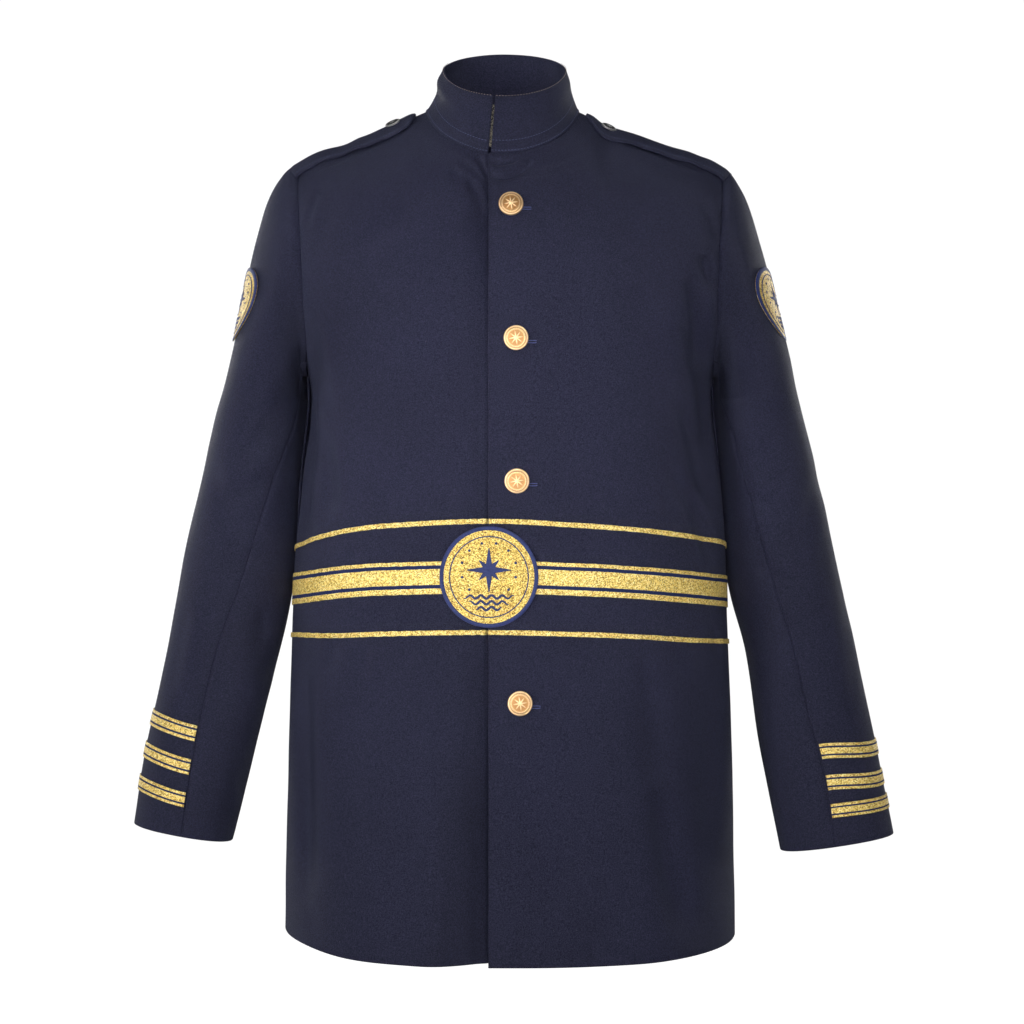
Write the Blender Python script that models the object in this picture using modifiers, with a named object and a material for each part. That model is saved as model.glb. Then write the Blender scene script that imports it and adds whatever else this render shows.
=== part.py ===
"""A naval dress jacket, as filled out by the wearer's shoulders, with no one in it.

Metres, +Z up. The front faces -Y and the wearer's left is +X. The origin lies at the
centre of the neck, level with the shoulders' inner ends.
"""

from collections import namedtuple
from math import cos, pi, radians, sin

import bmesh
import bpy
import numpy as np
from mathutils import Vector

# Cloth
CLOTH = 0.0020
COLLAR_CLOTH = 0.0026
SEAM_GAP = 0.0003
LAID_GAP = 0.0004

# Fronts: where the top front's edge and the hidden edge of the one under it lie
PLACKET_X = -0.0205
UNDERLAP_X = 0.018
UNDERLAP_STEP = CLOTH + 0.0005
STEP_STARTS_X = -0.048
STEP_ENDS_X = -0.024

# How softly the shoulders turn over at their ridge, as a share of the body's depth
RIDGE_SOFTNESS = 0.22

# The body from hem to neck, a row for each level: its height at the side, front and back,
# half its width, its depth forward and back, the squareness of its oval and its middle
BodyRow = namedtuple(
    "BodyRow",
    "side_height front_height back_height half_width front_depth back_depth squareness middle",
)
BODY_ROWS = (
    BodyRow(-0.8145, -0.8285, -0.820, 0.2238, 0.143, 0.128, 2.40, 0.0),
    BodyRow(-0.660, -0.662, -0.660, 0.2212, 0.139, 0.120, 2.40, 0.0),
    BodyRow(-0.480, -0.480, -0.480, 0.2160, 0.131, 0.112, 2.40, 0.0),
    BodyRow(-0.360, -0.360, -0.360, 0.2105, 0.130, 0.117, 2.40, 0.0),
    BodyRow(-0.262, -0.268, -0.262, 0.2050, 0.131, 0.124, 2.50, 0.0),
    BodyRow(-0.190, -0.210, -0.188, 0.2215, 0.130, 0.127, 2.60, 0.0),
    BodyRow(-0.115, -0.160, -0.115, 0.2280, 0.125, 0.122, 2.55, 0.0),
    BodyRow(-0.050, -0.130, -0.066, 0.2110, 0.117, 0.109, 2.25, 0.0),
    BodyRow(-0.0340, -0.101, -0.030, 0.1650, 0.110, 0.096, 2.10, -0.002),
    BodyRow(-0.0168, -0.076, -0.002, 0.1180, 0.100, 0.077, 2.00, -0.005),
    BodyRow(0.003, -0.050, 0.018, 0.0760, 0.088, 0.056, 2.00, -0.0075),
)
HEM_ROW, UNDERARM_ROW, SHOULDER_ROW, NECK_ROW = 0, 4, 7, 10

# The wearer's left shoulder hangs lower, as a slope across, between these rows
SHOULDER_SLOPE = 0.010
SLOPE_ROWS = (5.0, 7.0, 8.5, 10.0)
ARMHOLE_FRONT_DEPTH, ARMHOLE_BACK_DEPTH = 0.066, 0.062

# The largest folds of the fronts: soft troughs from a top point to a lower one
Fold = namedtuple("Fold", "top_x top_z low_x low_z top_width low_width depth")
FOLDS = (
    Fold(-0.200, -0.500, -0.196, -0.760, 0.020, 0.022, 0.0040),
    Fold(0.118, -0.535, 0.176, -0.860, 0.020, 0.034, 0.0045),
)
FOLD_FADE = 0.25

# How far the front that lies beneath sinks towards the top one's edge, and over what width
LapSink = namedtuple("LapSink", "z depth width")
LAP_SINKS = (
    LapSink(-0.850, 0.0070, 0.032),
    LapSink(-0.740, 0.0056, 0.026),
    LapSink(-0.640, 0.0034, 0.018),
    LapSink(-0.560, 0.0014, 0.012),
    LapSink(-0.300, 0.0006, 0.010),
    LapSink(-0.190, 0.0010, 0.010),
    LapSink(-0.120, 0.0030, 0.011),
    LapSink(-0.080, 0.0026, 0.010),
    LapSink(-0.050, 0.0000, 0.010),
)

# The collar's rim: its height and half width at the side, and how it stands front and back
RIM_SIDE, RIM_FRONT, RIM_BACK = 0.046, 0.008, 0.071
RIM_HALF_WIDTH, RIM_FRONT_DEPTH, RIM_BACK_DEPTH = 0.0615, 0.070, 0.062
RIM_MIDDLE = -0.0055
COLLAR_LIFT = 0.0008
COLLAR_LEFT_X, COLLAR_RIGHT_X = -0.0185, -0.0212
COLLAR_WAIST_LEFT, COLLAR_WAIST_RIGHT = 0.0015, 0.0045

# The tape edge that shows in the collar's opening
TAB_END_X = -0.0140
TAB_LOW, TAB_HIGH = 0.10, 0.88
TAB_THICKNESS, TAB_GAP = 0.0010, 0.0007

# The sleeves from the upper arm to the cuff, a row for each level of the section's middle
SleeveRow = namedtuple(
    "SleeveRow", "middle_x middle_y middle_z half_width half_depth tilt seam_across"
)
SLEEVE_ROWS = {
    "left": (
        SleeveRow(0.2478, 0.006, -0.285, 0.0403, 0.070, 0.0, -0.97),
        SleeveRow(0.2531, 0.013, -0.315, 0.0431, 0.069, 2.0, -0.90),
        SleeveRow(0.2619, 0.022, -0.375, 0.0499, 0.066, 4.0, -0.60),
        SleeveRow(0.2705, 0.026, -0.435, 0.0544, 0.061, 7.0, -0.25),
        SleeveRow(0.2791, 0.025, -0.480, 0.0557, 0.057, 8.5, 0.00),
        SleeveRow(0.2902, 0.018, -0.525, 0.0544, 0.054, 9.5, 0.08),
        SleeveRow(0.2997, 0.006, -0.585, 0.0557, 0.050, 10.0, 0.10),
        SleeveRow(0.3097, -0.008, -0.645, 0.0567, 0.046, 10.0, 0.06),
        SleeveRow(0.3240, -0.020, -0.7235, 0.0567, 0.041, 8.8, 0.00),
    ),
    "right": (
        SleeveRow(0.2483, 0.006, -0.285, 0.0408, 0.070, 0.0, -0.97),
        SleeveRow(0.2539, 0.013, -0.315, 0.0439, 0.069, 2.0, -0.90),
        SleeveRow(0.2620, 0.022, -0.375, 0.0500, 0.066, 4.0, -0.58),
        SleeveRow(0.2707, 0.026, -0.435, 0.0557, 0.061, 7.0, -0.24),
        SleeveRow(0.2776, 0.025, -0.480, 0.0567, 0.057, 9.0, 0.00),
        SleeveRow(0.2862, 0.018, -0.525, 0.0555, 0.054, 10.0, 0.13),
        SleeveRow(0.2985, 0.006, -0.585, 0.0539, 0.051, 11.0, 0.17),
        SleeveRow(0.3109, -0.008, -0.645, 0.0530, 0.049, 11.0, 0.10),
        SleeveRow(0.3238, -0.020, -0.7133, 0.0491, 0.046, 10.5, 0.00),
    ),
}
SLEEVE_SQUARENESS = 2.25
FRONT_SEAM_AT_ARMHOLE, HIND_SEAM_AT_ARMHOLE = -62.0, 208.0
HIND_SEAM_AT_UPPER_ARM, HIND_SEAM_AT_CUFF = 200.0, 172.0

# How far the cap stands out where it leaves the armhole and where it turns down the arm
Cap = namedtuple("Cap", "start_pull end_pull")
CAPS = {"left": Cap(0.37, 0.95), "right": Cap(0.50, 0.82)}

# The way the cap leaves the armhole: how it drops at the sides, rises from the underarm and
# spreads, how far down its end's direction is taken, and where it leaves the body's normals
TOP_RISE, UNDERARM_RISE, SPREAD = 0.1, 0.8, 0.15
TANGENT_STEP = 0.1
OWN_NORMAL_FROM = 0.35
SIDES = {"left": 1, "right": -1}

# Waist braid: height of its middle line at the centre front, sides and centre back
Braid = namedtuple("Braid", "name front_height side_height back_height width")
BRAIDS = (
    Braid("upper", -0.4055, -0.430, -0.412, 0.0054),
    Braid("middle", -0.4590, -0.473, -0.462, 0.0310),
    Braid("lower", -0.5117, -0.523, -0.515, 0.0054),
)
BRAID_THICKNESS = 0.0010
BRAID_END_GAP = 0.0006

# Cuff stripes: how far each one's lower edge lies above the cuff, and their width
STRIPE_RISES = {"left": (0.0245, 0.0520, 0.0820), "right": (0.0325, 0.0640, 0.0965)}
STRIPE_WIDTH = 0.0165
STRIPE_THICKNESS = 0.0009
STRIPE_MARGIN = 0.1
SLEEVE_LAID_GAP = 0.0007

# Front buttons: where each one's middle lies on the top front
BUTTON_PLACES = ((0.0010, -0.1027), (0.0058, -0.2317), (0.0067, -0.3675), (0.0096, -0.5785))
BUTTON_RADIUS, BUTTON_DOME, BUTTON_SKIRT = 0.0120, 0.0034, 0.0022
SHANK_RADIUS, SHANK_HEIGHT = 0.0034, 0.0012
SMALL_BUTTON_RADIUS, SMALL_BUTTON_DOME, SMALL_BUTTON_SKIRT = 0.0080, 0.0017, 0.0010
SMALL_SHANK_RADIUS, SMALL_SHANK_HEIGHT = 0.0020, 0.0005
DOME_STEPS = 4

# Badges: half sizes of the ovals, how thick they are and how finely they are cut up
BADGE_X, BADGE_Z = -0.0198, -0.4587
BADGE_HALF_WIDTH, BADGE_HALF_HEIGHT = 0.0465, 0.0480
BADGE_THICKNESS = 0.0022
SLEEVE_BADGE_THICKNESS = 0.0014
SLEEVE_BADGE_Z = -0.192
SLEEVE_BADGE_HALF_WIDTH, SLEEVE_BADGE_HALF_HEIGHT = 0.0345, 0.0360
SLEEVE_BADGE_RADIUS = 0.054
SLEEVE_BADGE_TURNS = {"left": 58.6, "right": 64.0}
PLATE_RINGS, PLATE_STEPS = 4, 32

# Epaulettes: half widths at the sleeve and at the neck, their ends and thickness
STRAP_OUTER_HALF, STRAP_INNER_HALF = 0.029, 0.020
STRAP_START_ROW, STRAP_END_ROW = 7.03, 9.62
STRAP_THICKNESS = 0.0026
STRAP_GAP = 0.0006
STRAP_FORWARD = 0.013
STRAP_TIP_FROM = 0.80
STRAP_TIP_ROWS = (9.3, 9.45, 9.56)
STRAP_BUTTON_AT = 0.84

# How finely the solids are cut up
LOW_STEPS, ARMHOLE_STEPS, YOKE_STEPS = 10, 12, 6
FRONT_COLUMNS, BACK_COLUMNS = 13, 20
CAP_STEPS, ARM_STEPS = 7, 12
TOP_COLUMNS, UNDER_COLUMNS = 15, 10
COLLAR_COLUMNS, COLLAR_STEPS = 42, 4
ROUND_STEPS = 20
STRAP_COLUMNS = 6
SEARCH_STEPS = 30


def row_values(rows, at):
    """Reads each column of a table between its rows, on a natural cubic spline."""
    table = np.array(rows)
    count = len(table)
    system = np.eye(count)
    for k in range(1, count - 1):
        system[k, k - 1 : k + 2] = 1, 4, 1
    turns = np.zeros(table.shape)
    turns[1:-1] = 6 * (table[2:] - 2 * table[1:-1] + table[:-2])
    bends = np.linalg.solve(system, turns)
    at = np.clip(np.asarray(at, float), 0, count - 1)
    low = np.minimum(at.astype(int), count - 2)
    part = (at - low)[..., None]
    rest = 1 - part
    straight = table[low] * rest + table[low + 1] * part
    bent = (rest**3 - rest) * bends[low] + (part**3 - part) * bends[low + 1]
    return np.moveaxis(straight + bent / 6, -1, 0)


def smooth_step(value, start, end):
    part = np.clip((value - start) / (end - start), 0, 1)
    return part * part * (3 - 2 * part)


def unit(vectors):
    return vectors / np.linalg.norm(vectors, axis=-1, keepdims=True)


def surface_normal(surface, first, second, step=1e-4):
    """The way out of a surface of two parameters, from the two directions along it."""
    along_first = surface(first + step, second) - surface(first - step, second)
    along_second = surface(first, second + step) - surface(first, second - step)
    return unit(np.cross(along_first, along_second))


def oval_reach(angle, half_width, depth, squareness):
    """How far a squared oval lies from its middle, at an angle from straight ahead."""
    across = np.abs(np.sin(angle) / half_width) ** squareness
    ahead = np.abs(np.cos(angle) / depth) ** squareness
    return (across + ahead) ** (-1 / squareness)


def oval_angle(across, half_width, depth, squareness):
    """The angle from straight ahead at which a squared oval is that far across."""
    share = np.clip(np.abs(across / half_width), 0, 1)
    ahead = depth * (1 - share**squareness) ** (1 / squareness)
    return np.arctan2(across, ahead)


def fold_depth(x, z):
    """How deep the soft folds of the fronts lie at a place seen from the front."""
    depth = np.zeros(np.broadcast(x, z).shape)
    for fold in FOLDS:
        along = (fold.top_z - z) / (fold.top_z - fold.low_z)
        middle = fold.top_x + (fold.low_x - fold.top_x) * along
        width = fold.top_width + (fold.low_width - fold.top_width) * np.clip(along, 0, 1)
        shape = np.exp(-(((x - middle) / width) ** 2))
        fades = smooth_step(along, 0, FOLD_FADE) * (1 - smooth_step(along, 1 - FOLD_FADE, 1))
        depth += fold.depth * shape * fades
    return depth


def body_point(angle, row):
    """The outside of the body: the angle runs from the front to the wearer's left."""
    values = row_values(BODY_ROWS, row)
    side, front, back, half_width, front_depth, back_depth, squareness, middle = values
    ahead = np.cos(angle) > 0
    depth = np.where(ahead, front_depth, back_depth)
    end_height = np.where(ahead, front, back)
    reach = oval_reach(angle, half_width, depth, squareness)
    share = np.abs(reach * np.cos(angle) / depth)
    lean = (1 + RIDGE_SOFTNESS) * share**2 / (share + RIDGE_SOFTNESS)
    x = middle + reach * np.sin(angle)
    begins, full, fades, ends = SLOPE_ROWS
    sloping = smooth_step(row, begins, full) * (1 - smooth_step(row, fades, ends))
    z = side + (end_height - side) * lean - SHOULDER_SLOPE * sloping * x
    reach = reach - np.where(ahead, fold_depth(x, z), 0.0) * np.abs(np.cos(angle))
    return np.stack([middle + reach * np.sin(angle), -reach * np.cos(angle), z], -1)


def body_normal(angle, row):
    return surface_normal(body_point, angle, row)


def body_layer(angle, row, out=0.0):
    """The body's surface moved out by a distance, which may differ from point to point."""
    angle, row = np.broadcast_arrays(angle, row)
    return body_point(angle, row) + body_normal(angle, row) * np.asarray(out)[..., None]


def front_angle(x, row):
    """The angle at which the front lies at a given x."""
    values = BodyRow(*row_values(BODY_ROWS, row))
    across = x - values.middle
    return oval_angle(across, values.half_width, values.front_depth, values.squareness)


def armhole_angle(row, ahead):
    """The angle at which the body is cut for the sleeve, or the side seam's elsewhere."""
    values = BodyRow(*row_values(BODY_ROWS, row))
    share = np.clip((row - UNDERARM_ROW) / (SHOULDER_ROW - UNDERARM_ROW), 0, 1)
    half_depth = ARMHOLE_FRONT_DEPTH if ahead else ARMHOLE_BACK_DEPTH
    cut = half_depth * 2 * np.sqrt(share * (1 - share))
    depth = values.front_depth if ahead else values.back_depth
    rest = 1 - (cut / depth) ** values.squareness
    return np.arctan2(values.half_width * rest ** (1 / values.squareness), cut)


def panel_end(row, ahead):
    """Where a panel ends at the armhole, side seam or shoulder seam, short of its middle."""
    half_width = row_values(BODY_ROWS, row)[3]
    seam = np.pi / 2 - SEAM_GAP / 2 / half_width
    return np.minimum(armhole_angle(row, ahead), seam)


def underlap_shift(x, z):
    """How far the front that lies beneath steps in and sinks, under the top one's edge."""
    step = UNDERLAP_STEP * smooth_step(x, STEP_STARTS_X, STEP_ENDS_X)
    heights, depths, widths = np.array(LAP_SINKS).T
    beside = np.maximum(PLACKET_X - x, 0) / np.interp(z, heights, widths)
    return step + np.interp(z, heights, depths) * np.exp(-(beside**2))


def find_on_front(x, z):
    """The angle and row of the front at a given x and z, by Newton's steps."""
    row = np.full(np.shape(x), 2.0)
    for _ in range(SEARCH_STEPS):
        angle = front_angle(x, row)
        height = body_point(angle, row)[..., 2]
        slope = (body_point(angle, row + 1e-3)[..., 2] - height) / 1e-3
        row = np.clip(row + 0.7 * (z - height) / np.maximum(slope, 0.02), 0, NECK_ROW)
    return front_angle(x, row), row


def row_at_height(angle, height):
    """The row at which the body is as high as asked, at each angle, by halving."""
    low, high = np.zeros(angle.shape), np.full(angle.shape, float(SHOULDER_ROW))
    for _ in range(SEARCH_STEPS):
        middle = (low + high) / 2
        too_low = body_point(angle, middle)[..., 2] < height
        low = np.where(too_low, middle, low)
        high = np.where(too_low, high, middle)
    return (low + high) / 2


def body_rows():
    """The rows at which the panels have points: as the sleeve's at the armhole."""
    turn = np.linspace(-np.pi / 2, np.pi / 2, ARMHOLE_STEPS + 1)
    armhole = UNDERARM_ROW + (SHOULDER_ROW - UNDERARM_ROW) * (1 + np.sin(turn)) / 2
    low = np.linspace(HEM_ROW, UNDERARM_ROW, LOW_STEPS + 1)
    yoke = np.linspace(SHOULDER_ROW, NECK_ROW, YOKE_STEPS + 1)
    return np.concatenate([low, armhole[1:-1], yoke])


def armhole_edge(flip):
    """One armhole's edge, outside and inside, all round from the underarm by the front.

    Both sides' edges are given at +X, where flip is -1 for the wearer's right.
    """
    turn = np.linspace(-np.pi / 2, 1.5 * np.pi, 2 * ARMHOLE_STEPS + 1)
    row = UNDERARM_ROW + (SHOULDER_ROW - UNDERARM_ROW) * (1 + np.sin(turn)) / 2
    ahead = np.cos(turn) > 0
    front, back = armhole_angle(row, True), np.pi - armhole_angle(row, False)
    angle = np.where(ahead, front, back)
    mirror = np.array([flip, 1.0, 1.0])
    outer = body_layer(flip * angle, row) * mirror
    normal = body_normal(flip * angle, row) * mirror
    edge = np.gradient(np.vstack([outer[-2:-1], outer, outer[1:2]]), axis=0)[1:-1]
    away = unit(np.cross(edge, normal))
    away *= np.sign(away[ARMHOLE_STEPS // 2, 0])
    shifted = outer + away * SEAM_GAP
    return turn, shifted, shifted - normal * CLOTH, normal


def along_edge(turn, edge_turn, points):
    """Points at any turn round an edge, on the straight lines between its own points."""
    wrapped = (turn + np.pi / 2) % (2 * np.pi) - np.pi / 2
    return np.stack([np.interp(wrapped, edge_turn, points[:, k]) for k in range(3)], -1)


class Sleeve:
    """One sleeve's surface: turn runs round from the front, course from armhole to cuff."""

    def __init__(self, side):
        self.rows = SLEEVE_ROWS[side]
        self.cap = CAPS[side]
        self.flip = np.array([SIDES[side], 1.0, 1.0])
        self.edge_turn, self.edge_outer, self.edge_inner, self.edge_normal = armhole_edge(SIDES[side])

    def arm_point(self, turn, place):
        values = SleeveRow(*row_values(self.rows, place))
        reach = oval_reach(turn, values.half_width, values.half_depth, SLEEVE_SQUARENESS)
        across, ahead = reach * np.sin(turn), -reach * np.cos(turn)
        tilt = np.radians(values.tilt)
        x = values.middle_x + across * np.cos(tilt)
        z = values.middle_z + across * np.sin(tilt)
        return np.stack([x, values.middle_y + ahead, z], -1)

    def cap_point(self, turn, share):
        """A curve from the armhole's edge out over the shoulder and down to the upper arm."""
        start = along_edge(turn, self.edge_turn, self.edge_outer)
        end = self.arm_point(turn, np.zeros(turn.shape))
        length = np.linalg.norm(end - start, axis=-1, keepdims=True)
        inside = np.maximum(-np.sin(turn), 0)
        rise = TOP_RISE * (np.sin(turn) - 1) + UNDERARM_RISE * inside**2
        leaving = np.stack([np.ones(turn.shape), -SPREAD * np.cos(turn), rise], -1)
        leaving = unit(leaving) * length * self.cap.start_pull
        down = self.arm_point(turn, np.full(turn.shape, TANGENT_STEP)) - end
        arriving = unit(down) * length * self.cap.end_pull
        share = share[..., None]
        rest = 1 - share
        from_start = rest**2 * ((1 + 2 * share) * start + share * leaving)
        to_end = share**2 * ((3 - 2 * share) * end - rest * arriving)
        return from_start + to_end

    def point(self, turn, course):
        """Course is 0 at the armhole, 1 at the upper arm and 1 more for each row below."""
        turn, course = np.broadcast_arrays(turn, course)
        on_cap = course[..., None] < 1
        cap = self.cap_point(turn, np.minimum(course, 1.0))
        return np.where(on_cap, cap, self.arm_point(turn, np.maximum(course - 1, 0)))

    def layer(self, turn, course, out):
        """The sleeve's surface moved out, where its start shares the body's own normals."""
        turn, course = np.broadcast_arrays(turn, course)
        own = -surface_normal(self.point, turn, np.maximum(course, 2e-4))
        body = along_edge(turn, self.edge_turn, self.edge_normal)
        blend = smooth_step(course, 0, OWN_NORMAL_FROM)[..., None]
        normal = unit(body * (1 - blend) + own * blend)
        return (self.point(turn, course) + normal * out) * self.flip

    def front_seam(self, course):
        """The turn at which the front seam runs, from the armhole down to the cuff."""
        values = SleeveRow(*row_values(self.rows, np.maximum(course - 1, 0)))
        share = np.clip(values.seam_across, -0.999, 0.999)
        lower = oval_angle(
            share * values.half_width, values.half_width, values.half_depth, SLEEVE_SQUARENESS
        )
        blend = smooth_step(course, 0, 1)
        return radians(FRONT_SEAM_AT_ARMHOLE) * (1 - blend) + lower * blend

    def hind_seam(self, course):
        """The turn at which the hind seam runs."""
        stops = (0, 1, len(self.rows))
        turns = (HIND_SEAM_AT_ARMHOLE, HIND_SEAM_AT_UPPER_ARM, HIND_SEAM_AT_CUFF)
        return np.radians(np.interp(course, stops, turns))

    def grid(self, piece, courses, out):
        """The points of the top or under sleeve, a row for each course.

        Its edges lie half a gap from the seams, square to them and along the cloth.
        """
        course = courses[:, None]
        front, hind = self.front_seam(course), self.hind_seam(course)
        if piece == "top":
            start, end, columns = front, hind, TOP_COLUMNS
        else:
            start, end, columns = hind, front + 2 * pi, UNDER_COLUMNS
        turn = start + (end - start) * np.linspace(0, 1, columns + 1)
        points, surface = self.layer(turn, course, out), self.layer(turn, course, 0.0)
        for edge, inward in ((0, 1), (-1, -2)):
            along = np.gradient(surface[:, edge], axis=0)
            across = surface[:, inward] - surface[:, edge]
            share = np.sum(across * along, -1) / np.sum(along * along, -1)
            points[:, edge] += unit(across - along * share[:, None]) * SEAM_GAP / 2
        return points

    def course_at(self, rise):
        """The course at which the sleeve's middle lies that far up its slope from the cuff."""
        place = np.linspace(0, len(self.rows) - 1, 400)
        values = SleeveRow(*row_values(self.rows, place))
        middle = np.stack([values.middle_x, values.middle_y, values.middle_z], -1)
        steps = np.linalg.norm(np.diff(middle, axis=0), axis=-1)
        length = np.concatenate([np.cumsum(steps[::-1])[::-1], [0.0]])
        return 1 + np.interp(rise, length[::-1], place[::-1])


def sleeve_courses():
    """The courses at which the sleeves have points, from the armhole to the cuff."""
    cap = np.linspace(0, 1, CAP_STEPS + 1)
    arm = np.linspace(1, len(SLEEVE_ROWS["left"]), ARM_STEPS + 1)
    return np.concatenate([cap, arm[1:]])


def on_grid(grid, row, column):
    """Points on a panel's own grid, straight between its points, at each row and column."""
    low_row = np.minimum(row.astype(int), grid.shape[0] - 2)
    low_column = np.minimum(column.astype(int), grid.shape[1] - 2)
    part_row = (row - low_row)[:, None, None]
    part_column = (column - low_column)[None, :, None]
    rows = [
        grid[low_row + k][:, low_column] * (1 - part_column)
        + grid[low_row + k][:, low_column + 1] * part_column
        for k in (0, 1)
    ]
    return rows[0] * (1 - part_row) + rows[1] * part_row


def laid_point(angle, row, out):
    """A place on the body for what is laid on it, straight between the panels' own rows."""
    levels = body_rows()
    row = np.clip(row, levels[0], levels[-1])
    low = np.clip(np.searchsorted(levels, row) - 1, 0, len(levels) - 2)
    part = ((row - levels[low]) / (levels[low + 1] - levels[low]))[..., None]
    below, above = (body_layer(angle, levels[low + k], out) for k in (0, 1))
    return below * (1 - part) + above * part


def front_columns(side, row, start_x, columns):
    """Angles across one front: a few where the hidden step lies, then evenly to its end."""
    end = SIDES[side] * panel_end(row, True)
    stops = [start_x]
    if side == "right":
        step_middle = (STEP_STARTS_X + STEP_ENDS_X) / 2
        stops += [(start_x + STEP_ENDS_X) / 2, STEP_ENDS_X, step_middle, STEP_STARTS_X]
    near = [front_angle(x, row) for x in stops]
    even = [near[-1] + (end - near[-1]) * k / columns for k in range(1, columns + 1)]
    return np.stack(near + even, -1)


def back_columns(row, columns):
    """Angles across the back, from the wearer's left side seam to the right one."""
    half = panel_end(row, False)[..., None]
    return pi + half * np.linspace(-1, 1, columns + 1)


def collar_base(angle):
    """The neck seam, which steps in with the front that lies beneath."""
    neck = np.full(np.shape(angle), float(NECK_ROW))
    seam = body_point(angle, neck)
    beneath = (np.cos(angle) > 0) & (angle > pi)
    shift = np.where(beneath, underlap_shift(seam[..., 0], seam[..., 2]), 0.0)
    return body_layer(angle, neck, -shift) + np.array([0, 0, COLLAR_LIFT])


def collar_rim(angle):
    """The collar's upper edge, which rises from the front to the back."""
    ahead = np.cos(angle) > 0
    depth = np.where(ahead, RIM_FRONT_DEPTH, RIM_BACK_DEPTH)
    end_height = np.where(ahead, RIM_FRONT, RIM_BACK)
    reach = oval_reach(angle, RIM_HALF_WIDTH, depth, 2.0)
    y = -reach * np.cos(angle)
    z = RIM_SIDE + (end_height - RIM_SIDE) * np.abs(y) / depth
    return np.stack([RIM_MIDDLE + reach * np.sin(angle), y, z], -1)


def collar_point(angle, share):
    """From the neck seam to the rim, drawn in at the sides half way up."""
    across, share = np.sin(angle), np.asarray(share)
    waist = np.where(across > 0, COLLAR_WAIST_LEFT, COLLAR_WAIST_RIGHT)
    inward = waist * across * np.abs(across) * 4 * share * (1 - share)
    share = share[..., None]
    point = collar_base(angle) * (1 - share) + collar_rim(angle) * share
    return point - np.stack([inward, 0 * inward, 0 * inward], -1)


def collar_layer(angle, share, out):
    angle, share = np.broadcast_arrays(angle, share)
    return collar_point(angle, share) + surface_normal(collar_point, angle, share) * out


def clear_scene():
    for item in list(bpy.data.objects):
        bpy.data.objects.remove(item, do_unlink=True)


def material(name, colour, roughness, metallic=0.0):
    made = bpy.data.materials.new(name)
    made.use_nodes = True
    shader = made.node_tree.nodes["Principled BSDF"]
    shader.inputs["Base Color"].default_value = (*colour, 1.0)
    shader.inputs["Roughness"].default_value = roughness
    shader.inputs["Metallic"].default_value = metallic
    return made


def navy_cloth(name):
    return material(name, (0.010, 0.012, 0.022), 0.85)


def gold_braid(name):
    return material(name, (0.52, 0.36, 0.11), 0.45, 0.6)


def gold_metal(name):
    return material(name, (0.75, 0.52, 0.20), 0.28, 1.0)


def pewter(name):
    return material(name, (0.30, 0.30, 0.31), 0.35, 1.0)


def add_object(collection, name, mesh, surface):
    made = bpy.data.objects.new(name, mesh)
    made.data.materials.append(surface(name))
    collection.objects.link(made)
    return made


def closed_mesh(name, points, faces):
    """A mesh from points and faces, with every face turned outward."""
    mesh = bpy.data.meshes.new(name)
    mesh.from_pydata([tuple(point) for point in points], [], faces)
    shape = bmesh.new()
    shape.from_mesh(mesh)
    bmesh.ops.recalc_face_normals(shape, faces=shape.faces)
    shape.to_mesh(mesh)
    shape.free()
    mesh.shade_smooth()
    mesh.set_sharp_from_angle(angle=radians(50))
    return mesh


def wall(collection, name, outer, inner, surface):
    """A closed wall between two grids of points: the cloth's outside and its inside.

    Each square is split along its shorter diagonal, so that slanted ones stay smooth.
    """
    rows, columns = outer.shape[:2]
    count = rows * columns
    points = np.concatenate([outer.reshape(-1, 3), inner.reshape(-1, 3)])
    rising = np.linalg.norm(outer[1:, 1:] - outer[:-1, :-1], axis=-1)
    falling = np.linalg.norm(outer[1:, :-1] - outer[:-1, 1:], axis=-1)
    faces = []
    for i in range(rows - 1):
        for j in range(columns - 1):
            a = i * columns + j
            b, c, d = a + 1, a + columns + 1, a + columns
            pair = [(a, b, c), (a, c, d)] if rising[i, j] < falling[i, j] else [(a, b, d), (b, c, d)]
            faces += pair + [tuple(k + count for k in reversed(face)) for face in pair]
    last_row, last_column = (rows - 1) * columns, columns - 1
    for j in range(columns - 1):
        k = j + last_row
        faces += [(j + 1, j, j + count, j + 1 + count), (k, k + 1, k + 1 + count, k + count)]
    for i in range(0, last_row, columns):
        j, k = i + columns, i + last_column
        faces += [(i, j, j + count, i + count), (k, k + count, k + columns + count, k + columns)]
    return add_object(collection, name, closed_mesh(name, points, faces), surface)


def oval_plate(collection, name, place, half_width, half_height, lift, thickness, surface):
    """A thin oval plate over a surface: place gives a point from an offset and a lift."""
    around = PLATE_STEPS
    turn = np.arange(around) * 2 * pi / around
    share = np.arange(1, PLATE_RINGS + 1)[:, None] / PLATE_RINGS
    across = np.append((half_width * share * np.sin(turn)).ravel(), 0.0)
    up = np.append((half_height * share * np.cos(turn)).ravel(), 0.0)
    points = np.concatenate([place(across, up, lift), place(across, up, lift + thickness)])
    count = len(across)
    faces = []
    for j in range(around):
        k = (j + 1) % around
        upper = [(count - 1, j, k)]
        for ring in range(PLATE_RINGS - 1):
            low, high = ring * around, (ring + 1) * around
            upper.append((j + low, j + high, k + high, k + low))
        faces += upper + [tuple(n + count for n in reversed(face)) for face in upper]
        edge = (PLATE_RINGS - 1) * around
        faces.append((j + edge, j + edge + count, k + edge + count, k + edge))
    return add_object(collection, name, closed_mesh(name, points, faces), surface)


def turned(collection, name, profile, surface):
    """A turned piece: the profile's points run down its outside, from radius and height."""
    mesh = bpy.data.meshes.new(name)
    points = [(radius, 0.0, height) for radius, height in profile]
    mesh.from_pydata(points, [(k, k + 1) for k in range(len(points) - 1)], [])
    made = add_object(collection, name, mesh, surface)
    screw = made.modifiers.new("Turn", "SCREW")
    screw.steps = ROUND_STEPS
    screw.render_steps = ROUND_STEPS
    screw.use_merge_vertices = True
    screw.merge_threshold = 0.00005
    screw.use_smooth_shade = True
    return made


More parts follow.
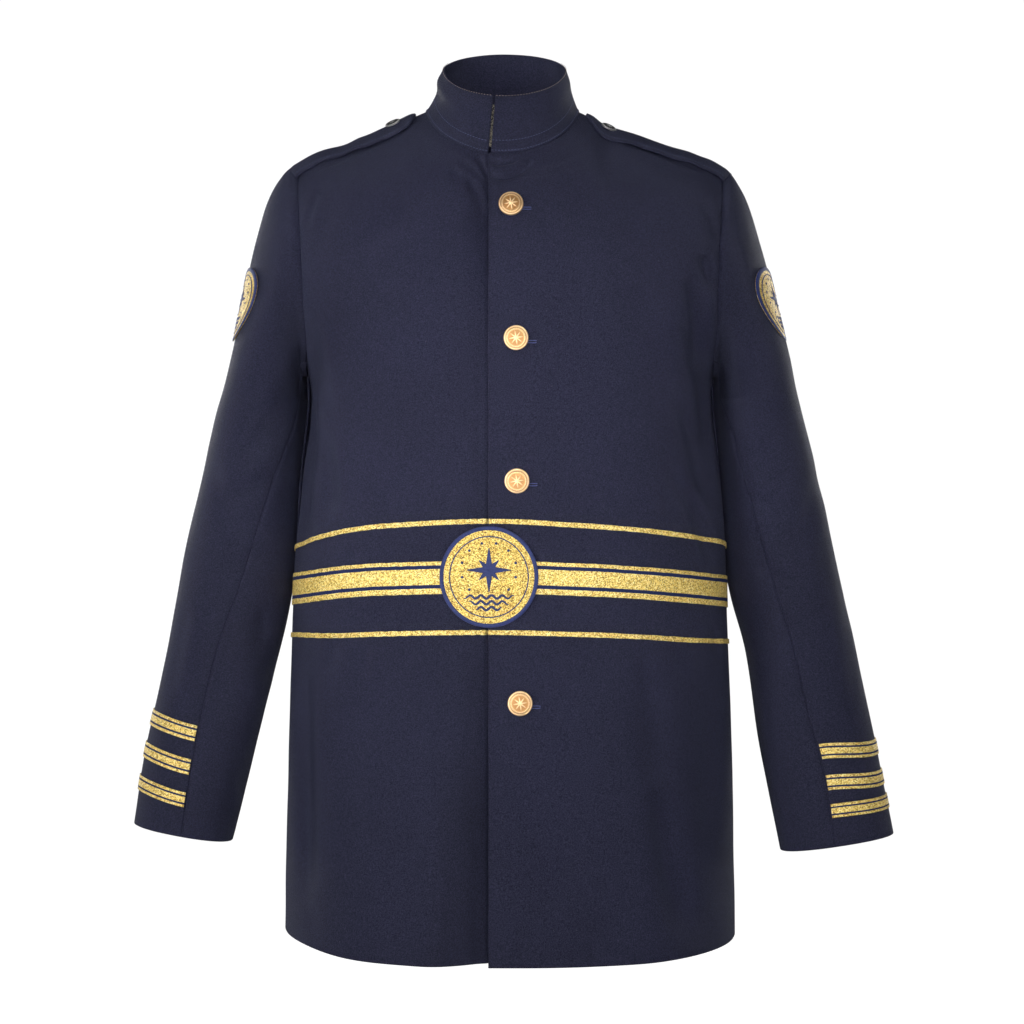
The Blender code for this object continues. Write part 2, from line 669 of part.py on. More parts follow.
def button_profile(radius, dome, skirt, shank_radius, shank_height):
    """A domed cap with an upright skirt, on a short shank."""
    base = shank_height + skirt
    cap = [
        (radius * sin(turn), base + dome * cos(turn))
        for turn in np.linspace(0, pi / 2, DOME_STEPS + 1)
    ]
    under = [(radius, shank_height), (shank_radius, shank_height)]
    return cap + under + [(shank_radius, 0.0), (0.0, 0.0)]


def seat(piece, point, normal):
    piece.location = Vector(point)
    piece.rotation_euler = Vector(normal).to_track_quat("Z", "Y").to_euler()


def make_body(collection):
    rows = body_rows()
    for side in SIDES:
        start_x = PLACKET_X if side == "left" else UNDERLAP_X
        angle = front_columns(side, rows, start_x, FRONT_COLUMNS)
        row = np.broadcast_to(rows[:, None], angle.shape)
        point = body_point(angle, row)
        shift = underlap_shift(point[..., 0], point[..., 2]) * (side == "right")
        outer, inner = body_layer(angle, row, -shift), body_layer(angle, row, -shift - CLOTH)
        wall(collection, f"front_{side}", outer, inner, navy_cloth)
    angle = back_columns(rows, BACK_COLUMNS)
    row = np.broadcast_to(rows[:, None], angle.shape)
    wall(collection, "back", body_layer(angle, row), body_layer(angle, row, -CLOTH), navy_cloth)


def braid_height(braid, angle):
    """The middle line of a braid: it droops from the centre front and back to the sides."""
    end_height = np.where(np.cos(angle) > 0, braid.front_height, braid.back_height)
    return braid.side_height + (end_height - braid.side_height) * np.abs(np.cos(angle))


def braid_grid(braid, columns_at):
    """Angles and rows of a braid's lower and upper edges on one panel."""
    angles, rows = [], []
    for edge in (-0.5, 0.5):
        row = np.full(columns_at(np.array([2.0])).shape[-1], 2.0)
        for _ in range(4):
            angle = np.diagonal(columns_at(row))
            row = row_at_height(angle, braid_height(braid, angle) + edge * braid.width)
        angles.append(angle)
        rows.append(row)
    return np.array(angles), np.array(rows)


def make_waist_braids(collection):
    ends = {"left": PLACKET_X + BRAID_END_GAP, "right": PLACKET_X - BRAID_END_GAP}
    panels = {
        f"front_{side}": lambda row, side=side: front_columns(side, row, ends[side], FRONT_COLUMNS)
        for side in SIDES
    }
    panels["back"] = lambda row: back_columns(row, BACK_COLUMNS)
    for braid in BRAIDS:
        for panel, columns_at in panels.items():
            angle, row = braid_grid(braid, columns_at)
            point = body_point(angle, row)
            shift = underlap_shift(point[..., 0], point[..., 2]) * (panel == "front_right")
            inner = laid_point(angle, row, LAID_GAP - shift)
            outer = laid_point(angle, row, LAID_GAP + BRAID_THICKNESS - shift)
            wall(collection, f"braid_{braid.name}_{panel}", outer, inner, gold_braid)


def make_collar(collection):
    start = front_angle(COLLAR_LEFT_X, NECK_ROW)
    step_middle = (STEP_STARTS_X + STEP_ENDS_X) / 2
    step = [2 * pi + front_angle(x, NECK_ROW) for x in (STEP_STARTS_X, step_middle, STEP_ENDS_X)]
    end = 2 * pi + front_angle(COLLAR_RIGHT_X, NECK_ROW)
    even = np.linspace(start, step[0], COLLAR_COLUMNS + 1)
    angle = np.concatenate([even, step[1:], [end]])[None, :]
    share = np.linspace(0, 1, COLLAR_STEPS + 1)[:, None]
    outer, inner = collar_layer(angle, share, 0.0), collar_layer(angle, share, -COLLAR_CLOTH)
    wall(collection, "collar", outer, inner, navy_cloth)
    tab_end = 2 * pi + front_angle(TAB_END_X, NECK_ROW)
    angle = np.array([*step, tab_end])[None, :]
    share = np.linspace(TAB_LOW, TAB_HIGH, COLLAR_STEPS + 1)[:, None]
    behind = -COLLAR_CLOTH - TAB_GAP
    outer, inner = (collar_layer(angle, share, behind - deep) for deep in (0, TAB_THICKNESS))
    wall(collection, "collar_tab", outer, inner, lambda name: material(name, (0.05, 0.05, 0.03), 0.9))


def make_sleeves(collection):
    courses = sleeve_courses()
    for side in SIDES:
        sleeve = Sleeve(side)
        for piece in ("top", "under"):
            outer, inner = (sleeve.grid(piece, courses, out) for out in (0.0, -CLOTH))
            wall(collection, f"sleeve_{side}_{piece}", outer, inner, navy_cloth)


def make_cuff_stripes(collection):
    courses = sleeve_courses()
    for side in SIDES:
        sleeve = Sleeve(side)
        for number, rise in enumerate(STRIPE_RISES[side], start=1):
            edges = sleeve.course_at(np.array([rise, rise + STRIPE_WIDTH]))
            levels = courses[(courses > edges[1]) & (courses < edges[0])]
            row = np.interp([edges[0], *levels[::-1], edges[1]], courses, np.arange(len(courses)))
            column = np.arange(TOP_COLUMNS + 1.0)
            column[0] += STRIPE_MARGIN
            column[-1] -= STRIPE_MARGIN
            outs = (SLEEVE_LAID_GAP, SLEEVE_LAID_GAP + STRIPE_THICKNESS)
            inner, outer = (on_grid(sleeve.grid("top", courses, out), row, column) for out in outs)
            wall(collection, f"cuff_stripe_{side}_{number}", outer, inner, gold_braid)


def make_epaulettes(collection):
    yoke = np.linspace(SHOULDER_ROW, NECK_ROW, YOKE_STEPS + 1)
    between = yoke[(yoke > STRAP_START_ROW) & (yoke < STRAP_END_ROW)]
    rows = np.unique(np.concatenate([[STRAP_START_ROW, STRAP_END_ROW], between, STRAP_TIP_ROWS]))
    share = (rows - STRAP_START_ROW) / (STRAP_END_ROW - STRAP_START_ROW)
    past = np.clip((share - STRAP_TIP_FROM) / (1 - STRAP_TIP_FROM), 0, 0.97)
    half = STRAP_OUTER_HALF + (STRAP_INNER_HALF - STRAP_OUTER_HALF) * share
    half = half * np.sqrt(1 - past**2)
    side_x = row_values(BODY_ROWS, rows)[3][:, None]
    spread = np.arctan2(half[:, None] * np.linspace(-1, 1, STRAP_COLUMNS + 1) - STRAP_FORWARD, side_x)
    row = np.broadcast_to(rows[:, None], spread.shape)
    button_row = STRAP_START_ROW + (STRAP_END_ROW - STRAP_START_ROW) * STRAP_BUTTON_AT
    for side, flip in SIDES.items():
        angle = flip * (pi / 2 + spread)
        inner = laid_point(angle, row, STRAP_GAP)
        outer = laid_point(angle, row, STRAP_GAP + STRAP_THICKNESS)
        wall(collection, f"epaulette_{side}", outer, inner, navy_cloth)
        profile = button_profile(
            SMALL_BUTTON_RADIUS, SMALL_BUTTON_DOME, SMALL_BUTTON_SKIRT,
            SMALL_SHANK_RADIUS, SMALL_SHANK_HEIGHT,
        )
        button = turned(collection, f"epaulette_button_{side}", profile, pewter)
        across = row_values(BODY_ROWS, button_row)[3]
        angle = flip * (pi / 2 - np.arctan2(STRAP_FORWARD, across))
        lift = STRAP_GAP + STRAP_THICKNESS + SEAM_GAP
        row_there = np.array(button_row)
        seat(button, laid_point(angle, row_there, lift), body_normal(angle, row_there))


def make_buttons(collection):
    profile = button_profile(BUTTON_RADIUS, BUTTON_DOME, BUTTON_SKIRT, SHANK_RADIUS, SHANK_HEIGHT)
    for number, (x, z) in enumerate(BUTTON_PLACES, start=1):
        angle, row = find_on_front(np.array(x), np.array(z))
        button = turned(collection, f"button_{number}", profile, gold_metal)
        seat(button, body_layer(angle, row, LAID_GAP), body_normal(angle, row))


def make_badges(collection):
    def on_waist(across, up, lift):
        angle, row = find_on_front(BADGE_X + across, BADGE_Z + up)
        return laid_point(angle, row, lift)

    lift = LAID_GAP + BRAID_THICKNESS + SEAM_GAP
    oval_plate(
        collection, "waist_badge", on_waist,
        BADGE_HALF_WIDTH, BADGE_HALF_HEIGHT, lift, BADGE_THICKNESS, gold_braid,
    )
    for side in SIDES:
        sleeve = Sleeve(side)

        def on_sleeve(across, up, lift, sleeve=sleeve, side=side):
            turn = radians(SLEEVE_BADGE_TURNS[side]) + across / SLEEVE_BADGE_RADIUS
            low, high = np.zeros(turn.shape), np.full(turn.shape, 2.0)
            for _ in range(SEARCH_STEPS):
                middle = (low + high) / 2
                too_high = sleeve.point(turn, middle)[..., 2] > SLEEVE_BADGE_Z + up
                low, high = np.where(too_high, middle, low), np.where(too_high, high, middle)
            return sleeve.layer(turn, (low + high) / 2, lift)

        oval_plate(
            collection, f"sleeve_badge_{side}", on_sleeve,
            SLEEVE_BADGE_HALF_WIDTH, SLEEVE_BADGE_HALF_HEIGHT, SLEEVE_LAID_GAP,
            SLEEVE_BADGE_THICKNESS, gold_braid,
        )


def main():
    clear_scene()
    collection = bpy.data.collections.new("naval_dress_jacket")
    bpy.context.scene.collection.children.link(collection)
    make_body(collection)
    make_collar(collection)
    make_sleeves(collection)
    make_epaulettes(collection)
    make_waist_braids(collection)
    make_cuff_stripes(collection)
    make_buttons(collection)
    make_badges(collection)


main()
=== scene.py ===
import bpy
import numpy as np
from math import atan2, pi, radians
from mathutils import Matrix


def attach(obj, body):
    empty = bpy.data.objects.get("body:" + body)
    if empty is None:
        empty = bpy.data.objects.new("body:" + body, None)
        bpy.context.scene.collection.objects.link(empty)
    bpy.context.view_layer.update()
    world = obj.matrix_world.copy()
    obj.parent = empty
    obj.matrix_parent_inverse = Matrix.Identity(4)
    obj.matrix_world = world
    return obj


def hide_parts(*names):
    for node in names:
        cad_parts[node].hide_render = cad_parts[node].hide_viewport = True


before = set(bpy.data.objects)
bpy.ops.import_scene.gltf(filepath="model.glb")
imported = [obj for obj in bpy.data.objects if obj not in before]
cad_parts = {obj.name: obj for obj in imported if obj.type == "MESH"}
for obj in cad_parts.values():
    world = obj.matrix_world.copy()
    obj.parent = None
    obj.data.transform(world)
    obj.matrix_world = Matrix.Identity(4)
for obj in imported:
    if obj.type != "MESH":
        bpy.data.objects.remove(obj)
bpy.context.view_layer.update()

# The camera looks along +Y at the middle of the jacket, level, as the photograph does
cameraSetup = {"place": (0.002, -2.6, -0.397), "frameWidth": 1.024, "sensor": 36.0}
camera = bpy.data.objects.new("camera", bpy.data.cameras.new("camera"))
bpy.context.scene.collection.objects.link(camera)
camera.location = cameraSetup["place"]
camera.rotation_euler = (pi / 2, 0, 0)
camera.data.sensor_width = cameraSetup["sensor"]
camera.data.lens = cameraSetup["sensor"] * -cameraSetup["place"][1] / cameraSetup["frameWidth"]
bpy.context.scene.camera = camera
print("camera ready")

# The cloth's thickness and how round its edges are, on the panels and on the collar
cloth = {"thickness": 0.0017, "collar": 0.0026, "seamRadius": 0.0007, "collarRadius": 0.0011}

# The jacket from hem to neck, one column of numbers for each named size, a level each
bodyCut = {
    "side": (-0.8145, -0.660, -0.480, -0.360, -0.262, -0.190, -0.115, -0.050, -0.034, -0.0168, 0.003),
    "front": (-0.8285, -0.662, -0.480, -0.360, -0.268, -0.210, -0.160, -0.130, -0.101, -0.076, -0.050),
    "back": (-0.820, -0.660, -0.480, -0.360, -0.262, -0.188, -0.115, -0.066, -0.030, -0.002, 0.018),
    "half": (0.2238, 0.2212, 0.2160, 0.2105, 0.2050, 0.2215, 0.2280, 0.2110, 0.1650, 0.1180, 0.0760),
    "ahead": (0.143, 0.139, 0.131, 0.130, 0.131, 0.130, 0.125, 0.117, 0.110, 0.100, 0.088),
    "behind": (0.128, 0.120, 0.112, 0.117, 0.124, 0.127, 0.122, 0.109, 0.096, 0.077, 0.056),
    "square": (2.40, 2.40, 2.40, 2.40, 2.50, 2.60, 2.55, 2.25, 2.10, 2.00, 2.00),
    "middle": (0, 0, 0, 0, 0, 0, 0, 0, -0.002, -0.005, -0.0075),
}
underarmLevel, shoulderLevel, neckLevel = 4.0, 7.0, 10.0
bodyForm = {
    "ridgeSoftness": 0.22, "slope": 0.010, "slopeLevels": (5.0, 7.0, 8.5, 10.0),
    "armholeAhead": 0.0760, "armholeBehind": 0.062,
}
placket = {"edge": -0.0205, "underEdge": 0.018, "step": 0.0025, "stepFrom": -0.048, "stepTo": -0.024}

# How far the front that lies beneath sinks beside the placket: heights, depths and widths
lapSink = {
    "height": (-0.850, -0.740, -0.640, -0.560, -0.300, -0.190, -0.120, -0.085, -0.055),
    "depth": (0.0270, 0.0230, 0.0135, 0.0050, 0.0008, 0.0014, 0.0080, 0.0060, 0.0),
    "width": (0.034, 0.030, 0.022, 0.016, 0.010, 0.010, 0.014, 0.012, 0.010),
    "groove": 0.0036, "grooveWidth": 0.0019, "grooveTop": (-0.060, -0.050),
}


def splineOf(table):
    # a natural cubic spline through each column of a table
    names, values = list(table), np.array(list(table.values()), float).T
    count = len(values)
    system = np.eye(count)
    for k in range(1, count - 1):
        system[k, k - 1 : k + 2] = 1, 4, 1
    turns = np.zeros(values.shape)
    turns[1:-1] = 6 * (values[2:] - 2 * values[1:-1] + values[:-2])
    bends = np.linalg.solve(system, turns)

    def read(at):
        at = np.clip(np.asarray(at, float), 0, count - 1)
        low = np.minimum(at.astype(int), count - 2)
        part = (at - low)[..., None]
        rest = 1 - part
        straight = values[low] * rest + values[low + 1] * part
        bent = (rest**3 - rest) * bends[low] + (part**3 - part) * bends[low + 1]
        return dict(zip(names, np.moveaxis(straight + bent / 6, -1, 0)))

    return read


bodyAt = splineOf(bodyCut)


def ease(value, start, end):
    # 0 before the start, 1 after the end, an S-curve between
    part = np.clip((value - start) / (end - start), 0, 1)
    return part * part * (3 - 2 * part)


def bell(offset, width):
    # 1 at no offset, falling as exp(-(offset / width)^2)
    return np.exp(-((offset / width) ** 2))


def between(first, last, share):
    return first + (last - first) * share


def unit(vectors):
    return vectors / np.maximum(np.linalg.norm(vectors, axis=-1, keepdims=True), 1e-12)


def sampled(values, known, at):
    # x, y and z read between their known places
    return np.stack([np.interp(at, known, values[:, k]) for k in range(3)], -1)


def halving(low, high, isLow):
    # the place between two bounds up to which the test says it is low
    for _ in range(26):
        middle = (low + high) / 2
        below = isLow(middle)
        low, high = np.where(below, middle, low), np.where(below, high, middle)
    return (low + high) / 2


def normalOf(surface, first, second, step=2e-4):
    # the cross product of the two directions along a surface
    alongFirst = surface(first + step, second) - surface(first - step, second)
    alongSecond = surface(first, second + step) - surface(first, second - step)
    return unit(np.cross(alongFirst, alongSecond))


def ovalReach(angle, half, depth, square):
    # radius of |x / half|^square + |y / depth|^square = 1 at an angle from straight ahead
    across = np.abs(np.sin(angle) / half) ** square
    ahead = np.abs(np.cos(angle) / depth) ** square
    return (across + ahead) ** (-1 / square)


def ovalAngle(across, half, depth, square):
    share = np.clip(np.abs(across / half), 0, 1)
    return np.arctan2(across, depth * (1 - share**square) ** (1 / square))


# The fronts' largest folds: soft troughs between two points, as x and z, with their widths
largeFolds = (
    {"top": (-0.200, -0.500), "low": (-0.196, -0.760), "widths": (0.020, 0.022), "depth": 0.0040},
    {"top": (0.118, -0.535), "low": (0.176, -0.860), "widths": (0.020, 0.034), "depth": 0.0045},
)


def largeFoldDepth(x, z):
    # a bell curve across each fold, faded in and out over a quarter of its length
    depth = np.zeros(np.broadcast(x, z).shape)
    for fold in largeFolds:
        (topX, topZ), (lowX, lowZ) = fold["top"], fold["low"]
        along = (topZ - z) / (topZ - lowZ)
        width = between(*fold["widths"], np.clip(along, 0, 1))
        fade = ease(along, 0, 0.25) * (1 - ease(along, 0.75, 1))
        depth += fold["depth"] * bell(x - between(topX, lowX, along), width) * fade
    return depth


def bodyPoint(angle, level):
    # squared ovals, whose height leans from the side's to the front's and back's
    row = bodyAt(level)
    ahead = np.cos(angle) > 0
    depth = np.where(ahead, row["ahead"], row["behind"])
    reach = ovalReach(angle, row["half"], depth, row["square"])
    share = np.abs(reach * np.cos(angle) / depth)
    soft = bodyForm["ridgeSoftness"]
    lean = (1 + soft) * share**2 / (share + soft)
    x = row["middle"] + reach * np.sin(angle)
    begins, full, fades, ends = bodyForm["slopeLevels"]
    sloping = ease(level, begins, full) * (1 - ease(level, fades, ends))
    endHeight = np.where(ahead, row["front"], row["back"])
    z = between(row["side"], endHeight, lean) - bodyForm["slope"] * sloping * x
    reach = reach - np.where(ahead, largeFoldDepth(x, z), 0.0) * np.abs(np.cos(angle))
    return np.stack([row["middle"] + reach * np.sin(angle), -reach * np.cos(angle), z], -1)


def bodyNormal(angle, level):
    return normalOf(bodyPoint, angle, level)


def frontAngle(x, level):
    row = bodyAt(level)
    return ovalAngle(x - row["middle"], row["half"], row["ahead"], row["square"])


def armholeAngle(level, ahead):
    # the cut is as deep as a half oval: 2 sqrt(s (1 - s)) of its half depth
    row = bodyAt(level)
    share = np.clip((level - underarmLevel) / (shoulderLevel - underarmLevel), 0, 1)
    half = bodyForm["armholeAhead"] if ahead else bodyForm["armholeBehind"]
    cut = half * 2 * np.sqrt(share * (1 - share))
    depth = row["ahead"] if ahead else row["behind"]
    rest = 1 - (cut / depth) ** row["square"]
    return np.arctan2(row["half"] * rest ** (1 / row["square"]), cut)


def armholeEdge(flip, steps=72):
    # round one armhole, from the underarm by the front, given at +X for either side
    turn = np.linspace(-pi / 2, 1.5 * pi, 2 * steps + 1)
    level = between(underarmLevel, shoulderLevel, (1 + np.sin(turn)) / 2)
    angle = np.where(np.cos(turn) > 0, armholeAngle(level, True), pi - armholeAngle(level, False))
    mirror = np.array([flip, 1.0, 1.0])
    return turn, bodyPoint(flip * angle, level) * mirror, bodyNormal(flip * angle, level) * mirror


sides = {"left": 1, "right": -1}


def distanceTo(points, path):
    # the least distance from each point to the corners and middles of a path
    path = np.concatenate([path, (path[1:] + path[:-1]) / 2])
    flat = points.reshape(-1, 3)
    squares = (flat**2).sum(-1)[:, None] + (path**2).sum(-1) - 2 * flat @ path.T
    return np.sqrt(np.maximum(squares.min(1), 0)).reshape(points.shape[:-1])


# Seams that pull the cloth in, the armholes, shoulders and sides: how deep and how wide
seamForm = {"armhole": (0.0013, 0.0014), "straight": (0.0006, 0.0022)}
seamPaths = []
for flip in sides.values():
    edge = armholeEdge(flip)[1]
    seamPaths.append((edge * np.array([flip, 1, 1]), *seamForm["armhole"]))
    for levels in (np.linspace(0, underarmLevel, 120), np.linspace(shoulderLevel, neckLevel, 60)):
        seamPaths.append((bodyPoint(np.full(levels.shape, flip * pi / 2), levels), *seamForm["straight"]))

# Bells that raise or lower the outline: x, height and width, and the z between which they fade
outlineBells = {
    "shoulder": (
        (-0.207, -0.0064, 0.025), (-0.165, -0.0024, 0.022), (-0.100, 0.0010, 0.013),
        (-0.152, 0.0016, 0.009), (0.094, -0.0038, 0.010), (0.106, -0.0032, 0.018),
        (0.172, -0.0014, 0.022), (0.190, -0.0014, 0.010), (0.209, -0.0056, 0.026),
    ),
    "hem": ((-0.218, 0.0058, 0.042),),
    "shoulderFade": (-0.098, -0.060), "hemFade": (-0.810, -0.740),
}


def settled(points):
    # z moved by a sum of bell curves over x, near the shoulder's top and the hem only
    x, z = points[..., 0], points[..., 2]
    out = np.array(points, float)
    near = {"shoulder": ease(z, *outlineBells["shoulderFade"]), "hem": 1 - ease(z, *outlineBells["hemFade"])}
    for part, share in near.items():
        for centre, height, width in outlineBells[part]:
            out[..., 2] += height * bell(x - centre, width) * share
    return out


def seamDip(points):
    # an inward bell curve beside each seam
    return -sum(dip * bell(distanceTo(points, path), width) for path, dip, width in seamPaths)


def creaseDip(points, creases):
    # each crease is a bent path seen from the front or back, as x and z: a trough across it
    # with a lower ridge on one side, faded towards both ends; a negative depth is a ridge
    x, z = points[..., 0], points[..., 2]
    out = np.zeros(x.shape)
    t = np.linspace(0, 1, 13)[:, None]
    for *corners, width, depth, ridge in creases:
        a, b, c = np.reshape(corners, (3, 2)) / 1000
        width, depth = width / 1000, depth / 1000
        bend = (1 - t) ** 2 * a + 2 * t * (1 - t) * b + t**2 * c
        low, high = bend.min(0) - 4 * width, bend.max(0) + 4 * width
        inside = (x > low[0]) & (x < high[0]) & (z > low[1]) & (z < high[1])
        if not inside.any():
            continue
        px, pz = x[inside], z[inside]
        best, side, share = np.full(px.shape, 1e9), np.zeros(px.shape), np.zeros(px.shape)
        for k in range(len(bend) - 1):
            start, step = bend[k], bend[k + 1] - bend[k]
            length = np.hypot(*step)
            offX, offZ = px - start[0], pz - start[1]
            part = np.clip((offX * step[0] + offZ * step[1]) / length**2, 0, 1)
            gap = np.hypot(offX - part * step[0], offZ - part * step[1])
            closer = gap < best
            best = np.where(closer, gap, best)
            side = np.where(closer, np.sign(step[0] * offZ - step[1] * offX), side)
            share = np.where(closer, (k + part) / (len(bend) - 1), share)
        u = best * side / width
        fade = ease(share, 0, 0.3) * (1 - ease(share, 0.7, 1))
        out[inside] -= depth * (bell(u, 1) - ridge * bell(u - 1.7, 0.9)) * fade
    return out


# Creases of each panel, a row of mm each: x and z of its start, bend and end, width, depth, ridge
panelCreases = {
    "right": (
        # beneath the strap's edge
        (-199, -58, -152, -40, -108, -22, 3.4, 2.4, 0.0),
        # beside the placket's edge, under the collar and at the chest
        (-50, -58, -36, -63, -24, -78, 3.2, 2.6, 0.3), (-58, -64, -44, -76, -30, -96, 5.0, 1.6, 0.2),
        (-33, -51, -26, -57, -22, -76, 2.6, 4.6, 0.2), (-42, -66, -33, -84, -25, -116, 5.0, 4.0, 0.15),
        (-28, -210, -28, -300, -28, -400, 5.0, 1.2, 0.2),
        # the ridge from which the skirt sinks towards the placket
        (-74, -560, -72, -720, -78, -880, 18.0, -5.0, 0.0),
        # the ease beside the sleeve head, and drag lines under it
        (-184, -74, -193, -95, -197, -122, 3.4, 2.2, 0.35),
        (-170, -92, -180, -120, -186, -160, 8.0, 0.8, 0.2),
        (-198, -200, -190, -250, -176, -310, 8.0, 2.4, 0.2),
        (-199, -290, -186, -350, -168, -410, 12.0, 3.0, 0.15),
        (-184, -310, -176, -360, -176, -412, 9.0, 4.0, 0.15),
        (-197, -215, -203, -340, -206, -450, 9.0, 8.5, 0.1),
        # puckers where the braids are sewn on
        (-60, -398, -59, -388, -60, -370, 6.0, 1.1, 0.3),
        (-118, -402, -118, -390, -121, -372, 7.5, 1.0, 0.3),
        (-86, -426, -86, -434, -85, -442, 6.0, 0.8, 0.3),
        (-150, -430, -151, -438, -150, -448, 6.0, 1.0, 0.3),
        (-172, -522, -171, -532, -172, -552, 6.0, 1.7, 0.4),
        (-140, -522, -140, -536, -142, -560, 6.8, 1.8, 0.4),
        (-98, -522, -97, -532, -98, -550, 6.8, 1.1, 0.35), (-62, -520, -62, -532, -64, -552, 7.5, 0.8, 0.3),
        (-120, -486, -121, -496, -120, -506, 7.5, 1.0, 0.3),
        (-72, -484, -73, -494, -73, -504, 6.8, 0.8, 0.3),
        # the skirt: a band along the side, and broad folds between
        (-200, -520, -204, -660, -199, -810, 9.0, 7.0, 0.1),
        (-186, -620, -186, -700, -192, -790, 12.0, 2.4, 0.1),
        (-150, -560, -158, -660, -150, -770, 20.0, 2.6, 0.0),
        (-88, -560, -80, -680, -90, -800, 24.0, 2.2, 0.0),
        (-193, -812, -192, -800, -190, -776, 8.0, 1.0, 0.2),
        (-60, -828, -60, -812, -64, -786, 6.0, 1.4, 0.3),
        # broad, shallow waves of the chest
        (-150, -150, -130, -250, -140, -360, 28.0, 2.4, 0.0),
        (-70, -120, -62, -220, -76, -330, 24.0, 1.8, 0.0),
        (-90, -96, -110, -124, -160, -150, 14.0, 1.6, 0.2),
    ),
    "left": (
        # beneath the strap's edge
        (199, -60, 154, -42, 110, -26, 3.4, 2.4, 0.0),
        # the arcs under the collar, beside its opening
        (-23, -71, 3, -82, 27, -52, 3.4, 6.4, 0.35), (-22, -59, -4, -62, 13, -52, 2.6, 4.8, 0.3),
        (-19, -74, -16, -92, -17, -120, 4.0, 1.2, 0.25), (30, -66, 44, -84, 66, -92, 9.0, 1.4, 0.2),
        # drag lines from the armpit
        (186, -146, 190, -162, 197, -182, 5.0, 5.4, 0.25), (174, -160, 184, -210, 188, -262, 8.0, 8.1, 0.2),
        (166, -200, 176, -236, 184, -280, 7.0, 3.3, 0.25),
        (190, -210, 196, -300, 200, -420, 12.0, 9.0, 0.1), (162, -280, 182, -330, 194, -400, 9.0, 5.4, 0.2),
        (170, -360, 186, -410, 199, -450, 7.0, 4.5, 0.2), (150, -346, 164, -380, 186, -404, 7.0, 2.7, 0.25),
        # the shoulder's ease beside the sleeve head
        (188, -92, 196, -112, 200, -136, 4.0, 1.8, 0.3),
        # puckers where the braids are sewn on
        (92, -398, 93, -386, 92, -366, 6.8, 1.2, 0.3), (152, -404, 153, -392, 149, -370, 7.5, 1.5, 0.3),
        (36, -396, 36, -386, 38, -370, 7.5, 0.8, 0.3), (120, -430, 121, -438, 120, -446, 6.0, 0.9, 0.3),
        (73, -522, 74, -536, 73, -556, 6.8, 1.7, 0.4), (124, -523, 125, -538, 128, -564, 7.5, 1.9, 0.4),
        (161, -526, 162, -540, 166, -562, 6.8, 1.7, 0.4), (36, -521, 36, -532, 35, -548, 7.5, 0.9, 0.3),
        (100, -488, 101, -498, 100, -508, 6.8, 0.9, 0.3), (150, -490, 150, -500, 151, -510, 6.8, 1.1, 0.3),
        # the skirt's broad folds
        (108, -430, 124, -680, 156, -930, 38.0, -7.0, 0.0),
        (126, -530, 134, -610, 146, -670, 14.0, 4.6, 0.1),
        (138, -650, 150, -730, 168, -810, 15.0, 7.4, 0.1), (44, -600, 52, -700, 44, -800, 28.0, 2.8, 0.0),
        (92, -640, 98, -720, 92, -800, 20.0, 1.8, 0.0), (196, -500, 199, -520, 206, -548, 4.0, 2.4, 0.3),
        (190, -560, 196, -640, 192, -730, 12.0, 2.8, 0.2), (80, -829, 79, -815, 75, -786, 5.0, 1.8, 0.35),
        (14, -829, 14, -815, 12, -790, 6.0, 1.2, 0.3),
        # broad, shallow waves of the chest
        (60, -170, 84, -280, 72, -390, 30.0, 2.4, 0.0), (120, -170, 136, -240, 150, -320, 18.0, 2.2, 0.1),
        (90, -106, 120, -140, 156, -150, 14.0, 1.8, 0.2),
    ),
    "back": (
        (-192, -150, -176, -210, -150, -270, 10.0, 3.4, 0.2),
        (190, -160, 178, -220, 160, -290, 9.0, 3.2, 0.2),
        (-198, -240, -190, -320, -196, -410, 12.0, 4.0, 0.1),
        (197, -230, 188, -300, 192, -380, 11.0, 3.6, 0.1),
        (-120, -350, -60, -372, 20, -362, 14.0, 2.6, 0.2), (30, -338, 90, -352, 150, -336, 13.0, 2.4, 0.2),
        (-150, -520, -150, -534, -152, -556, 4.5, 2.1, 0.4),
        (-92, -520, -92, -534, -91, -552, 4.5, 1.8, 0.35),
        (-20, -520, -21, -532, -20, -550, 4.5, 1.6, 0.35), (48, -520, 48, -534, 49, -558, 4.5, 2.2, 0.4),
        (118, -522, 119, -536, 121, -556, 4.5, 2.0, 0.35),
        (-110, -530, -118, -640, -126, -800, 20.0, 5.2, 0.1),
        (-20, -540, -14, -680, -22, -818, 24.0, 4.4, 0.0), (86, -530, 96, -660, 110, -810, 19.0, 5.4, 0.1),
        (176, -500, 184, -620, 186, -740, 14.0, 3.4, 0.1),
        (-70, -110, -90, -180, -80, -260, 24.0, 2.4, 0.0), (70, -100, 84, -180, 76, -270, 26.0, 2.2, 0.0),
        (-60, -20, -10, -36, 52, -18, 12.0, 1.6, 0.2),
    ),
}


def softWaves(points):
    # three crossing sine waves, so that no part of the cloth is quite smooth
    x, y, z = points[..., 0], points[..., 1], points[..., 2]
    first = np.sin(38 * x + 9 * z + 1.3) * np.sin(21 * z - 6 * x + 0.4 + 8 * y)
    second = np.sin(64 * x - 17 * z + 2.1 + 11 * y) * np.sin(35 * z + 0.9)
    third = np.sin(97 * z + 31 * x + 0.6) * np.sin(83 * x + 29 * y + 1.9)
    return 0.00034 * first + 0.00020 * second + 0.00009 * third


def panelOut(points, panel):
    # all that lifts or sinks one panel's cloth, quieter towards the neck seam
    quiet = 1 - 0.75 * ease(points[..., 2], -0.04, 0.0)
    out = creaseDip(points, panelCreases[panel]) * quiet + seamDip(points) + softWaves(points) * quiet
    return out - underShift(points) * (panel == "right")


def bodyCloth(angle, level, panel, lift=0.0):
    # a point of the dressed surface, moved out along the body's normal
    base, normal = bodyPoint(angle, level), bodyNormal(angle, level)
    return settled(base + normal * (panelOut(base, panel) + lift)[..., None]), normal


